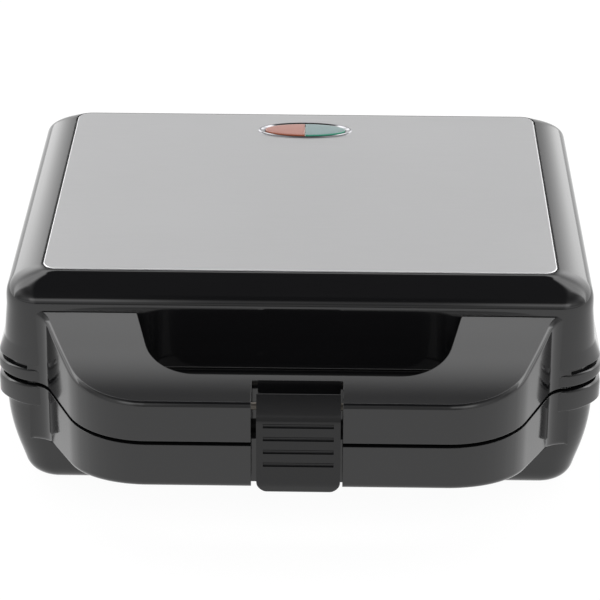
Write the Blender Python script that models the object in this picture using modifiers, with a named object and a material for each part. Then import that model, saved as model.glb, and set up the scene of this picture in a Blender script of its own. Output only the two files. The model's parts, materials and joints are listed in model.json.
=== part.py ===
"""Sandwich toaster with a hinged lid, a clip latch and two triangle-pocket cooking plates.

Every object is one separate piece. Lengths are in metres, +Z is up and the handles point to -Y.
The origin is on the table, under the middle of the toaster.
Heights marked "rise" are measured away from the plane where the two halves meet.
"""
from math import atan2, cos, pi, radians, sin, sqrt, tan

import bmesh
import bpy
from mathutils import Matrix, Vector

# Body, where the two halves meet
body_width = 0.2360
body_depth = 0.1892
body_corner = 0.0170
split_height = 0.0475
half_gap = 0.0008
wall = 0.0028
ledge_rise = 0.0077
ledge_width = 0.0024
fit_gap = 0.0003
edge_round = 0.0006

# Raised lips along the sides of both halves
lip_flare = 0.0020
lid_lip_height = 0.0054
base_lip_height = 0.0090
flare_rise = 0.0155
lip_start = 0.0140
lip_fade = 0.0060
lip_edge_share = 0.5
lip_top_share = 0.8

# Lid shell above its lip
groove_height = 0.0015
groove_depth = 0.0018
groove_slope = 0.0005
lid_wall_step = 0.0009
lid_side_lean = 0.0032
lid_end_lean = 0.0003
lid_rise = 0.0450
shoulder_drop = 0.0078
side_shoulder = 0.0163
side_crown_share = 0.6
end_shoulder = 0.0112
rim_round = 0.0030
deck_thickness = 0.0025

# Brushed panel let into the lid
recess_depth = 0.0016
recess_corner = 0.0058
panel_gap = 0.0011
panel_sheet = 0.0008
panel_proud = 0.0003
panel_edge = 0.0006

# Base shell below its lip
base_step = 0.0022
base_step_height = 0.0008
base_side_taper = 0.0055
base_end_taper = 0.0030
base_edge_round = 0.0080
foot_drop = 0.0010
floor_thickness = 0.0025

# Handle loops
handle_reach = 0.0468
handle_corner_inset = 0.0388
handle_corner_radius = 0.0340
arm_root_inset = 0.0180
arm_root_drop = 0.0003
arm_root_radius = 0.0110
arm_end_inset = 0.0110
arm_end_rise = 0.0016
handle_root = 0.0045
bar_depth = 0.0175
opening_root_inset = 0.0538
opening_corner_inset = 0.0654
opening_radius = 0.0190
lid_handle_root_rise = 0.0313
lid_handle_front_rise = 0.0163
lid_handle_sag = 0.0020
base_handle_root_rise = 0.0240
base_handle_front_rise = 0.0177
base_handle_crown = 0.0002
handle_edge_round = 0.0024
lid_handle_edge_round = 0.0042
opening_edge_round = 0.0008
handle_strips = 7
hollow_strips = 5

# Hollows in the mating faces of the handles
handle_wall = 0.0026
hollow_root_gap = 0.0005
latch_block_margin = 0.0050
rib_thickness = 0.0016
rib_recess = 0.0010
rib_pitch = 0.0130
arm_rib_inset = 0.0160

# Latch, its pin and the notches for it
latch_width = 0.0320
latch_thickness = 0.0026
latch_proud = 0.0015
latch_side_gap = 0.0014
latch_top_rise = 0.0195
latch_top_lean = 0.0050
latch_bend_rise = 0.0130
latch_bend_radius = 0.0080
latch_drop = 0.0207
latch_corner = 0.0050
latch_roll = 0.0038
latch_hook_thickness = 0.0022
latch_hook_reach = 0.0033
latch_barrel_radius = 0.0030
barrel_corner_share = 0.9
latch_pin_radius = 0.0015
latch_pin_inset = 0.0055
latch_pin_rise = 0.0135
latch_pin_socket = 0.0050
lid_notch_depth = 0.0120
base_notch_depth = 0.0060
grip_grooves = 4
grip_groove_height = 0.0016
grip_groove_depth = 0.0006
grip_groove_pitch = 0.0055
grip_groove_margin = 0.0025
grip_middle_rise = 0.0003

# Hinge at the rear
hinge_standoff = 0.0062
hinge_radius = 0.0055
hinge_inset = 0.0460
barrel_width = 0.0120
ear_thickness = 0.0040
hinge_side_gap = 0.0004
hinge_pin_radius = 0.0016
hinge_root_rise = 0.0074
hinge_root_share = 0.8

# Frame round each cooking plate
frame_face_rise = 0.0012
frame_side_gap = 0.0004
frame_ledge = 0.0020
frame_round = 0.0005

# Cooking plates
plate_side_margin = 0.0120
plate_end_margin = 0.0156
plate_corner = 0.0080
ridge_rise = 0.0003
plate_face_rise = 0.0015
flange_thickness = 0.0030
field_side_margin = 0.0045
field_end_margin = 0.0150
field_corner = 0.0060
pocket_depth = 0.0122
pocket_floor = 0.0030
pocket_draft = 0.0026
pocket_corner = 0.0070
pad_radius = 0.0160
rim_width = 0.0040
centre_ridge = 0.0060
diagonal_ridge = 0.0044
boss_radius = 0.0040
boss_side_inset = 0.0460
boss_inset = 0.0082

# Heating elements and their shields
heater_radius = 0.0033
heater_end_margin = 0.0240
heater_side_margin = 0.0470
heater_bend = 0.0140
heater_tail = 0.0130
heater_tail_margin = 0.0022
shield_sheet = 0.0008
shield_rim = 0.0034
shield_side_margin = 0.0070
shield_corner = 0.0120
shield_window_radius = 0.0135

# Screws that clamp each plate to its shell
screw_head_radius = 0.0034
screw_head_height = 0.0022
screw_shank_radius = 0.0016
screw_clearance = 0.0005
screw_seat_rise = 0.0360
screw_tip_rise = 0.0176
column_radius = 0.0055
counterbore_radius = 0.0041
head_top_share = 0.8

# Lamp window in the panel
lamp_from_rear = 0.0308
bezel_half_width = 0.0210
bezel_half_depth = 0.0085
bezel_ring = 0.0026
bezel_height = 0.0013
bezel_skirt = 0.0006
bezel_rise_shares = (0.55, 0.8)
bezel_inset_shares = (0.12, 0.45)
lens_gap = 0.0003
lens_dome = 0.0012
lens_sheet = 0.0013
lens_dome_shares = (0.86, 0.50)
lamp_cup_depth = 0.0120
lamp_cup_wall = 0.0012
lamp_flange = 0.0022
lamp_divider = 0.0010
neon_radius = 0.0026
neon_length = 0.0110
neon_x = 0.0086

# Control parts in the base
thermostat_radius = 0.0085
thermostat_height = 0.0085
thermostat_ear_length = 0.0310
thermostat_ear_width = 0.0080
thermostat_ear_sheet = 0.0012
small_screw_head = 0.0026
small_screw_height = 0.0016
small_screw_shank = 0.0012
small_screw_length = 0.0075
thermostat_screw_x = 0.0118
ear_boss_radius = 0.0026
ear_rise = 0.0223
small_tip_rise = 0.0165
fuse_radius = 0.0022
fuse_length = 0.0120
fuse_x = 0.0450
fuse_y = 0.0200
fuse_clip_width = 0.0060
fuse_clip_sheet = 0.0008
terminal_width = 0.0260
terminal_depth = 0.0160
terminal_height = 0.0110
terminal_bore = 0.0018
service_inset = 0.0150
gland_radius = 0.0062
gland_bore = 0.0040
gland_flange = 0.0085
gland_flange_thickness = 0.0022
gland_tail = 0.0030
gland_drop = 0.0280
clamp_width = 0.0300
clamp_depth = 0.0080
clamp_height = 0.0040
clamp_x = 0.0110
clamp_from_wall = 0.0145
clamp_column_gap = 0.0095
post_radius = 0.0035

# Feet
foot_radius = 0.0065
foot_stem_radius = 0.0030
foot_side_inset = 0.0330
foot_inset = 0.0072
foot_round = 0.0008
foot_bead = 0.0009
foot_bead_height = 0.0014

# Positions that follow from the sizes above
overall_depth = latch_proud + handle_reach + body_depth + hinge_standoff + hinge_radius
handle_front_y = latch_proud - overall_depth / 2
body_front_y = handle_front_y + handle_reach
body_rear_y = body_front_y + body_depth
body_centre_y = (body_front_y + body_rear_y) / 2
hinge_y = body_rear_y + hinge_standoff
base_drop = split_height - foot_drop
rim_rise = lid_rise - shoulder_drop
recess_rise = lid_rise - recess_depth
ceiling_rise = recess_rise - deck_thickness
base_floor_rise = base_drop - floor_thickness
plate_width = body_width - 2 * plate_side_margin
plate_depth = body_depth - 2 * plate_end_margin
handle_corner_x = body_width / 2 - handle_corner_inset
arm_root_x = body_width / 2 - arm_root_inset
arm_end_x = body_width / 2 - arm_end_inset
opening_root_x = body_width / 2 - opening_root_inset
opening_corner_x = body_width / 2 - opening_corner_inset
hinge_x = body_width / 2 - hinge_inset
foot_x = body_width / 2 - foot_side_inset
boss_x = plate_width / 2 - boss_side_inset
heater_long_run = plate_width - 2 * heater_end_margin
heater_half_depth = plate_depth / 2 - heater_side_margin
latch_socket = latch_width / 2 + latch_side_gap + latch_pin_socket
hollow_start_x = latch_socket + latch_block_margin
lid_profile = (lid_handle_root_rise, lid_handle_front_rise, -lid_handle_sag)
base_profile = (base_handle_root_rise, base_handle_front_rise, base_handle_crown)
terminal_x = clamp_width / 2 + clamp_column_gap + column_radius - boss_x
pocket_floor_rise = ridge_rise + pocket_depth
plate_under_rise = pocket_floor_rise + pocket_floor
heater_rise = plate_under_rise + fit_gap + heater_radius
shield_rise = heater_rise + heater_radius + fit_gap
latch_pin_y = handle_front_y + latch_pin_inset
lamp_y = body_rear_y - lamp_from_rear
overrun = 2 * wall

# Smoothness
corner_steps = 5
side_steps = 6
plate_steps = 4
pocket_steps = 3
round_steps = 12
fine_steps = 24
screw_steps = 10
arc_steps = 7

UP, DOWN = 1, -1
collection = None
cutters = None


def start_scene():
    """Clear the scene and make one collection for the toaster and one for the cutters."""
    global collection, cutters
    for old in list(bpy.data.objects):
        bpy.data.objects.remove(old)
    collection = bpy.data.collections.new("sandwich_toaster")
    cutters = bpy.data.collections.new("cutters")
    for made in (collection, cutters):
        bpy.context.scene.collection.children.link(made)


def material(name, colour, roughness, metallic=0.0):
    made = bpy.data.materials.get(name)
    if made is None:
        made = bpy.data.materials.new(name)
        made.use_nodes = True
        shader = made.node_tree.nodes["Principled BSDF"]
        shader.inputs["Base Color"].default_value = (*colour, 1)
        shader.inputs["Roughness"].default_value = roughness
        shader.inputs["Metallic"].default_value = metallic
    return made


def gloss_black():
    return material("gloss_black_plastic", (0.012, 0.012, 0.013), 0.10)


def satin_black():
    return material("satin_black_plastic", (0.020, 0.020, 0.021), 0.40)


def nonstick():
    return material("nonstick_aluminium", (0.035, 0.034, 0.034), 0.45)


def brushed_steel():
    return material("brushed_steel", (0.56, 0.56, 0.57), 0.30, 1.0)


def plated_steel():
    return material("plated_steel", (0.62, 0.61, 0.60), 0.25, 1.0)


def object_of(mesh, name, finish, helper=False):
    """Link a mesh as a named piece, or as a hidden cutter or tool."""
    obj = bpy.data.objects.new(name, mesh)
    (cutters if helper else collection).objects.link(obj)
    if helper:
        obj.hide_render = True
        obj.display_type = "WIRE"
    elif finish:
        mesh.materials.append(finish)
    mesh.shade_smooth()
    mesh.set_sharp_from_angle(angle=radians(32))
    return obj


def mesh_of(shape, name):
    bmesh.ops.recalc_face_normals(shape, faces=shape.faces)
    mesh = bpy.data.meshes.new(name)
    shape.to_mesh(mesh)
    shape.free()
    return mesh


def loft(name, rings, finish=None, helper=False, closed=False):
    """Join rings of equal count with quads. A closed loft is a ring-shaped section; others get caps."""
    shape = bmesh.new()
    rows = [[shape.verts.new(point) for point in ring] for ring in rings]
    count = len(rows[0])
    pairs = list(zip(rows, rows[1:]))
    if closed:
        pairs.append((rows[-1], rows[0]))
    for low, high in pairs:
        for i in range(count):
            j = (i + 1) % count
            shape.faces.new((low[i], low[j], high[j], high[i]))
    if not closed:
        shape.faces.new(rows[0])
        shape.faces.new(rows[-1])
    bmesh.ops.triangulate(shape, faces=shape.faces)
    return object_of(mesh_of(shape, name), name, finish, helper)


def rounded_polygon(corners, steps=corner_steps):
    """Points round a polygon. Each corner is (x, y, radius); the turn may be either way."""
    points = []
    count = len(corners)
    for i, (x, y, radius) in enumerate(corners):
        here = Vector((x, y))
        before = (Vector(corners[i - 1][:2]) - here).normalized()
        after = (Vector(corners[(i + 1) % count][:2]) - here).normalized()
        if radius <= 0:
            points.append((x, y))
            continue
        half = before.angle(after) / 2
        centre = here + (before + after).normalized() * (radius / sin(half))
        start = here + before * (radius / tan(half)) - centre
        end = here + after * (radius / tan(half)) - centre
        sweep = start.angle_signed(end)
        for step in range(steps + 1):
            turn = Matrix.Rotation(-sweep * step / steps, 2)
            points.append(tuple(centre + turn @ start))
    return points


def inset_polygon(corners, distance):
    """Move every edge of a counter-clockwise polygon inwards. Outer corners get tighter, inner ones wider."""
    moved = []
    count = len(corners)
    for i, (x, y, radius) in enumerate(corners):
        here = Vector((x, y))
        before = (here - Vector(corners[i - 1][:2])).normalized()
        after = (Vector(corners[(i + 1) % count][:2]) - here).normalized()
        inward = before.orthogonal() + after.orthogonal()
        inward *= distance / (1 + before.dot(after))
        tighter = max(radius - distance, radius / corner_steps)
        wider = radius + distance if radius > 0 else radius
        moved.append((x + inward.x, y + inward.y, tighter if before.cross(after) > 0 else wider))
    return moved


def rectangle(half_x, half_y, radius, centre_y=0.0):
    """Corners of a rounded rectangle, counter-clockwise from the right rear."""
    return [
        (half_x, centre_y + half_y, radius),
        (-half_x, centre_y + half_y, radius),
        (-half_x, centre_y - half_y, radius),
        (half_x, centre_y - half_y, radius),
    ]


def ellipse(half_x, half_y, centre=(0.0, 0.0), steps=fine_steps):
    turns = [2 * pi * i / steps for i in range(steps)]
    return [(centre[0] + half_x * cos(a), centre[1] + half_y * sin(a)) for a in turns]


def at_rise(points, rise, side):
    """Lift plan points to a rise above (UP) or below (DOWN) the plane between the halves."""
    return [(x, y, split_height + side * rise) for x, y in points]


def rectangle_rings(rows, side, steps):
    """Rings for a loft from rows of (rise, half width, half depth, corner radius)."""
    rings = []
    for rise, half_x, half_y, radius in rows:
        outline = rounded_polygon(rectangle(half_x, half_y, radius, body_centre_y), steps)
        rings.append(at_rise(outline, rise, side))
    return rings


def prism(name, outline, low, high, along="Z", finish=None, helper=False):
    """A flat outline as a filled 2D curve, extruded from low to high along Z or along X, then made a mesh."""
    curve = bpy.data.curves.new(name, "CURVE")
    curve.dimensions = "2D"
    curve.fill_mode = "BOTH"
    curve.extrude = (high - low) / 2
    spline = curve.splines.new("POLY")
    spline.points.add(len(outline) - 1)
    for point, (x, y) in zip(spline.points, outline):
        point.co = (x, y, 0, 1)
    spline.use_cyclic_u = True
    drawn = bpy.data.objects.new(name, curve)
    bpy.context.scene.collection.objects.link(drawn)
    drawn.location.z = (low + high) / 2
    if along == "X":
        drawn.matrix_world = Matrix(((0, 0, 1, (low + high) / 2), (1, 0, 0, 0), (0, 1, 0, 0), (0, 0, 0, 1)))
    bpy.context.view_layer.update()
    solid = bpy.data.meshes.new_from_object(drawn.evaluated_get(bpy.context.evaluated_depsgraph_get()))
    solid.transform(drawn.matrix_world)
    bpy.data.objects.remove(drawn)
    shape = bmesh.new()
    shape.from_mesh(solid)
    bmesh.ops.remove_doubles(shape, verts=shape.verts, dist=fit_gap / 100)
    bmesh.ops.dissolve_limit(shape, angle_limit=radians(0.5), verts=shape.verts, edges=shape.edges)
    return object_of(mesh_of(shape, name), name, finish, helper)


def box(name, centre, size, finish=None, helper=False):
    shape = bmesh.new()
    bmesh.ops.create_cube(shape, size=1)
    bmesh.ops.transform(shape, matrix=Matrix.LocRotScale(Vector(centre), None, Vector(size)), verts=shape.verts)
    return object_of(mesh_of(shape, name), name, finish, helper)


def cylinder(name, centre, radius, length, along="Z", steps=round_steps, finish=None, helper=False):
    shape = bmesh.new()
    bmesh.ops.create_cone(shape, cap_ends=True, segments=steps, radius1=radius, radius2=radius, depth=length)
    turn = {"Z": Matrix.Identity(4), "X": Matrix.Rotation(pi / 2, 4, "Y"), "Y": Matrix.Rotation(pi / 2, 4, "X")}
    bmesh.ops.transform(shape, matrix=Matrix.Translation(centre) @ turn[along], verts=shape.verts)
    return object_of(mesh_of(shape, name), name, finish, helper)


def turned(name, profile, place, finish, side=UP, tilt=None, steps=round_steps):
    """Turn a profile of (radius, height) round its axis. It runs down the outside, from the top to the foot."""
    mesh = bpy.data.meshes.new(name)
    mesh.from_pydata([(r, 0, h) for r, h in profile], [(i, i + 1) for i in range(len(profile) - 1)], [])
    obj = bpy.data.objects.new(name, mesh)
    collection.objects.link(obj)
    mesh.materials.append(finish)
    obj.location = place
    if side == DOWN:
        obj.rotation_euler = (pi, 0, 0)
    if tilt is not None:
        obj.rotation_euler = tilt
    screw = obj.modifiers.new("turn", "SCREW")
    screw.steps = steps
    screw.render_steps = steps
    screw.use_merge_vertices = True
    screw.merge_threshold = fit_gap / 10
    screw.use_smooth_shade = True
    return obj


def boolean(obj, tool, operation):
    change = obj.modifiers.new(operation.lower(), "BOOLEAN")
    change.operation = operation
    change.object = tool
    change.solver = "EXACT"


def cut(obj, *tools):
    for tool in tools:
        boolean(obj, tool, "DIFFERENCE")


def add(obj, *tools):
    for tool in tools:
        boolean(obj, tool, "UNION")


# Shells: rows of (rise, side inset, end inset, corner radius, lip flare), lofted from the cavity out


def lip_weight(y):
    """0 at the corners and ends, 1 along the straight part of each side."""
    reach = min(y - body_front_y, body_rear_y - y) - lip_start
    share = min(max(reach / lip_fade, 0.0), 1.0)
    return share * share * (3 - 2 * share)


def body_outline(side_inset, end_inset, radius, flare=0.0):
    """A rounded rectangle that follows the body, with points along its sides for the flared lip."""
    half_x = body_width / 2 - side_inset
    half_y = body_depth / 2 - end_inset
    outline = rounded_polygon(rectangle(half_x, half_y, radius, body_centre_y))
    per_corner = corner_steps + 1
    right_rear, left_rear, left_front, right_front = (
        outline[i * per_corner:(i + 1) * per_corner] for i in range(4)
    )
    stations = [i / side_steps for i in range(1, side_steps)]
    rear_y = body_centre_y + half_y - radius
    front_y = body_centre_y - half_y + radius
    left_side = [(-half_x, rear_y + (front_y - rear_y) * t) for t in stations]
    right_side = [(half_x, front_y + (rear_y - front_y) * t) for t in stations]
    whole = right_rear + left_rear + left_side + left_front + right_front + right_side
    return [(x + (flare * lip_weight(y) if x > 0 else -flare * lip_weight(y)), y) for x, y in whole]


def shell_ring(row, side):
    rise, side_inset, end_inset, radius, flare = row
    return at_rise(body_outline(side_inset, end_inset, radius, flare), rise, side)


def bend(start, corner, end, steps):
    """Rows along a smooth bend from start to end, drawn towards corner. Both ends are included."""
    rows = []
    for step in range(steps + 1):
        t = step / steps
        parts = zip(start, corner, end)
        rows.append(tuple((1 - t) ** 2 * a + 2 * t * (1 - t) * b + t * t * c for a, b, c in parts))
    return rows


def inner_rows(ledge_inset):
    """The mouth of a shell from its ledge to its edge."""
    mouth = wall + edge_round
    corner = body_corner - wall
    return [
        (ledge_rise, ledge_inset, ledge_inset, corner - ledge_width, 0.0),
        (ledge_rise, wall, wall, corner, 0.0),
        (half_gap + edge_round, wall, wall, corner, 0.0),
        (half_gap, mouth, mouth, corner - edge_round, 0.0),
    ]


def lip_rows(height):
    """The outside of a lip, from the edge of the shell towards its wall."""
    top = half_gap + height
    return [
        (half_gap, edge_round, edge_round, body_corner - edge_round, lip_edge_share * lip_flare),
        (half_gap + edge_round, 0.0, 0.0, body_corner, lip_top_share * lip_flare),
        (half_gap + height / 4, 0.0, 0.0, body_corner, lip_flare),
        (top - edge_round, 0.0, 0.0, body_corner, lip_flare),
        (top, edge_round, edge_round, body_corner - edge_round, lip_top_share * lip_flare),
    ]


def shoulder_row(rim, deck_edge, t):
    """A row between the rim and the deck: straight at the front and rear, crowned at the sides."""
    row = [a + (b - a) * t for a, b in zip(rim, deck_edge)]
    share = side_crown_share * (1 - sqrt(1 - t * t)) + (1 - side_crown_share) * t
    row[1] = rim[1] + (deck_edge[1] - rim[1]) * share
    return tuple(row)


def lid_shell():
    """Lid: lip, groove, leaning wall, sloping shoulder and the recess for the panel."""
    ledge_inset = wall + ledge_width
    groove_corner = body_corner - groove_depth
    band_rise = half_gap + lid_lip_height
    groove_top = band_rise + groove_height
    lean_corner = body_corner - lid_side_lean
    shoulder_corner = recess_corner + panel_gap
    rim = (rim_rise, lid_side_lean, lid_end_lean, lean_corner, 0.0)
    rim_low = (rim_rise - rim_round, lid_side_lean - edge_round, lid_end_lean, lean_corner, 0.0)
    deck_edge = (lid_rise, side_shoulder, end_shoulder, shoulder_corner, 0.0)
    shoulder_share = rim_round / shoulder_drop
    shares = (shoulder_share, 0.5, 1 - shoulder_share)
    rim_high, middle, deck_low = (shoulder_row(rim, deck_edge, t) for t in shares)
    deck_level = (lid_rise, side_shoulder - rim_round / 2, end_shoulder - rim_round / 2, shoulder_corner, 0.0)
    rows = [
        (ceiling_rise, side_shoulder, end_shoulder + wall, shoulder_corner, 0.0),
        (rim_rise - rim_round, lid_side_lean + wall, ledge_inset, lean_corner - wall, 0.0),
        *inner_rows(ledge_inset),
        *lip_rows(lid_lip_height),
        (band_rise + groove_slope, groove_depth, groove_depth, groove_corner, 0.0),
        (groove_top, groove_depth, groove_depth, groove_corner, 0.0),
        (groove_top + groove_slope, 0.0, 0.0, body_corner, lip_top_share * lip_flare),
        (flare_rise, lid_wall_step, 0.0, body_corner, 0.0),
        *bend(rim_low, rim, rim_high, 3),
        middle,
        *bend(deck_low, deck_level, deck_edge, 3),
        (recess_rise, side_shoulder, end_shoulder, shoulder_corner, 0.0),
    ]
    return loft("upper_housing", [shell_ring(row, UP) for row in rows], gloss_black())


def base_shell():
    """Base: lip, step, tapering wall and rounded bottom edge."""
    ledge_inset = wall + ledge_width
    step_rise = half_gap + base_lip_height + base_step_height
    step_corner = body_corner - base_step
    side_foot = base_step + base_side_taper
    end_foot = base_step + base_end_taper
    foot_corner = step_corner - base_end_taper
    edge_high = (base_drop - base_edge_round, side_foot, end_foot, foot_corner, 0.0)
    edge_mid = (base_drop, side_foot, end_foot, foot_corner, 0.0)
    edge_in = base_edge_round
    edge_low = (base_drop, side_foot + edge_in, end_foot + edge_in, foot_corner - edge_in / 2, 0.0)
    rows = [
        (base_floor_rise, side_foot + edge_in, end_foot + edge_in, foot_corner - edge_in / 2, 0.0),
        (base_floor_rise - edge_in, side_foot + wall, end_foot + wall, foot_corner - wall, 0.0),
        *inner_rows(ledge_inset),
        *lip_rows(base_lip_height),
        (step_rise, base_step, base_step, step_corner, 0.0),
        *bend(edge_high, edge_mid, edge_low, 4),
    ]
    return loft("lower_housing", [shell_ring(row, DOWN) for row in rows], gloss_black())


def handle_outline():
    """Plan of a handle loop: the outer sweep, then back round the finger opening."""
    arm_root_y = body_front_y + arm_root_drop
    arm_end_y = body_front_y + arm_end_rise
    root_y = body_front_y + handle_root
    bar_y = handle_front_y + bar_depth
    right_outer = [
        (opening_root_x, root_y, 0.0),
        (arm_end_x, root_y, 0.0),
        (arm_end_x, arm_end_y, 0.0),
        (arm_root_x, arm_root_y, arm_root_radius),
        (handle_corner_x, handle_front_y, handle_corner_radius),
    ]
    left_outer = [(-x, y, r) for x, y, r in reversed(right_outer)]
    opening = [(-opening_corner_x, bar_y, opening_radius), (opening_corner_x, bar_y, opening_radius)]
    return rounded_polygon(right_outer + left_outer + opening)


def handle_rise(y, root_rise, front_rise, crown):
    """Height of a handle's outer face at a depth: a straight fall with a slight crown."""
    t = (body_front_y - y) / handle_reach
    return root_rise + (front_rise - root_rise) * t + 4 * crown * t * (1 - t)


def bent_block(outline, low, profile, strips, thinner=0.0):
    """A plan raised from a low face to a handle's outer face, less a wall, and sliced so that it can bend."""
    shape = bmesh.new()
    root_rise = profile[0]
    floor = shape.faces.new([shape.verts.new((x, y, low)) for x, y in outline])
    raised = bmesh.ops.extrude_face_region(shape, geom=[floor])
    for vert in (v for v in raised["geom"] if isinstance(v, bmesh.types.BMVert)):
        vert.co.z = root_rise
    for i in range(1, strips):
        y = handle_front_y + handle_reach * i / strips
        geometry = shape.verts[:] + shape.edges[:] + shape.faces[:]
        bmesh.ops.bisect_plane(shape, geom=geometry, dist=fit_gap / 10, plane_co=(0, y, 0), plane_no=(0, 1, 0))
    outer = {v for v in shape.verts if v.co.z > root_rise / 2}
    for vert in outer:
        vert.co.z = handle_rise(vert.co.y, *profile) - thinner
    bmesh.ops.recalc_face_normals(shape, faces=shape.faces)
    shape.normal_update()
    return shape, outer


def place_block(shape, name, side):
    """Make a tool of a block, its low face at the edge of one half."""
    bmesh.ops.triangulate(shape, faces=shape.faces)
    for vert in shape.verts:
        vert.co.z = split_height + side * (vert.co.z + half_gap)
    return object_of(mesh_of(shape, name), name, None, helper=True)


def beside_opening(edge):
    """Whether an edge of a handle runs round the finger opening, not round the outer sweep."""
    middle = (edge.verts[0].co + edge.verts[1].co) / 2
    across = (middle.y - handle_front_y - bar_depth) / (body_front_y - handle_front_y - bar_depth)
    reach = opening_corner_x + (opening_root_x - opening_corner_x) * max(across, 0)
    return middle.y > handle_front_y + bar_depth / 2 and abs(middle.x) < reach + opening_edge_round


def handle_loop(name, side, profile, outer_round):
    """A handle loop: its plan raised to its outer face, with rounded outer edges."""
    shape, outer = bent_block(handle_outline(), 0.0, profile, handle_strips)
    hidden_y = body_front_y - fit_gap
    edges = [
        e for e in shape.edges
        if e.verts[0] in outer and e.verts[1] in outer
        and not all(abs(f.normal.z) > 0.5 for f in e.link_faces)
        and min(v.co.y for v in e.verts) < hidden_y
    ]
    inner = [e for e in edges if beside_opening(e)]
    sweep = [e for e in edges if not beside_opening(e)]
    shared = {"affect": "EDGES", "segments": 2, "profile": 0.5, "clamp_overlap": False}
    bmesh.ops.bevel(shape, geom=sweep, offset=outer_round, **shared)
    bmesh.ops.bevel(shape, geom=[e for e in inner if e.is_valid], offset=opening_edge_round, **shared)
    return place_block(shape, name, side)


def handle_hollows(name, side, profile):
    """The two hollows in the mating face of a handle, from beside the latch round into each arm, with ribs."""
    root_y = body_front_y - hollow_root_gap + handle_wall
    bar_y = handle_front_y + bar_depth
    half = [
        (hollow_start_x - handle_wall, handle_front_y, 0.0),
        (handle_corner_x, handle_front_y, handle_corner_radius),
        (arm_root_x, root_y, 0.0),
        (opening_root_x, root_y, 0.0),
        (opening_corner_x, bar_y, opening_radius),
        (hollow_start_x - handle_wall, bar_y, 0.0),
    ]
    right = rounded_polygon(inset_polygon(half, handle_wall))
    low = half_gap + rib_recess
    high = profile[0]
    hollows = []
    for i, sx in enumerate((-1, 1)):
        shape, _ = bent_block([(sx * x, y) for x, y in right], -overrun, profile, hollow_strips, handle_wall)
        hollow = place_block(shape, f"{name}_{i}", side)
        middle_z = rise_to_z((low + high) / 2, side)
        for k in (1, 2):
            centre = (sx * (hollow_start_x + k * rib_pitch), handle_front_y + handle_reach / 2, middle_z)
            size = (rib_thickness, handle_reach, high - low)
            cut(hollow, box(f"{name}_bar_rib_{i}_{k}", centre, size, helper=True))
        centre = (sx * body_width / 2, body_front_y - arm_rib_inset, middle_z)
        size = (body_width - 2 * opening_corner_x, rib_thickness, high - low)
        cut(hollow, box(f"{name}_arm_rib_{i}", centre, size, helper=True))
        hollows.append(hollow)
    return hollows


def rise_to_z(rise, side):
    return split_height + side * rise


def post(name, x, y, low, high, radius, side, helper=True, finish=None, steps=round_steps):
    """An upright cylinder between two rises of one half."""
    middle = rise_to_z((low + high) / 2, side)
    return cylinder(name, (x, y, middle), radius, high - low, "Z", steps, finish, helper)


def screw_places():
    reach = plate_depth / 2 - boss_inset
    return [(sx * boss_x, body_centre_y + sy * reach) for sy in (-1, 1) for sx in (-1, 1)]


def notch(name, side, depth):
    """The slot for the latch, through the front of one handle half."""
    half_x = latch_width / 2 + latch_side_gap
    low = min(rise_to_z(-overrun, side), rise_to_z(lid_handle_root_rise, side))
    high = max(rise_to_z(-overrun, side), rise_to_z(lid_handle_root_rise, side))
    centre = (0, handle_front_y - overrun + (depth + overrun) / 2, (low + high) / 2)
    return box(name, centre, (2 * half_x, depth + overrun, high - low), helper=True)


def add_screw_columns(shell, name, side, end_rise):
    """Four columns that reach the heat shield, each with a counterbore for a screw from outside."""
    for i, (x, y) in enumerate(screw_places()):
        start = shield_rise + shield_sheet + fit_gap
        add(shell, post(f"{name}_column_{i}", x, y, start, end_rise - wall / 2, column_radius, side))
    for i, (x, y) in enumerate(screw_places()):
        bore = post(f"{name}_counterbore_{i}", x, y, screw_seat_rise, end_rise + overrun, counterbore_radius, side)
        hole_radius = screw_shank_radius + screw_clearance
        hole = post(f"{name}_screw_hole_{i}", x, y, shield_rise - overrun, end_rise, hole_radius, side)
        cut(shell, bore, hole)


def hinge_lug(name, x, width, side):
    """A knuckle round the hinge axis with a foot that runs into the rear wall of one half."""
    wall_y = body_rear_y - hinge_root_share * wall
    round_part = [
        (hinge_y + hinge_radius * cos(a), rise_to_z(hinge_radius * sin(a), side))
        for a in (radians(-90 + 180 * i / round_steps) for i in range(round_steps + 1))
    ]
    outline = [
        (hinge_y - hinge_radius * sin(pi / 4), rise_to_z(-hinge_radius * cos(pi / 4), side)),
        *round_part,
        (wall_y, rise_to_z(hinge_root_rise, side)),
        (wall_y, rise_to_z(3 * half_gap, side)),
        (hinge_y - hinge_radius, rise_to_z(2 * half_gap, side)),
    ]
    return prism(name, outline, x - width / 2, x + width / 2, along="X", helper=True)


def clear_mouth(handle, name, side):
    """Take away the part of a handle's root that would reach through the thin wall round the mouth."""
    inset = (groove_depth + wall) / 2
    rises = (-overrun, ledge_rise + ledge_width / 2)
    rings = [shell_ring((rise, inset, inset, body_corner - inset, 0.0), side) for rise in rises]
    cut(handle, loft(name, rings, helper=True))


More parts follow.
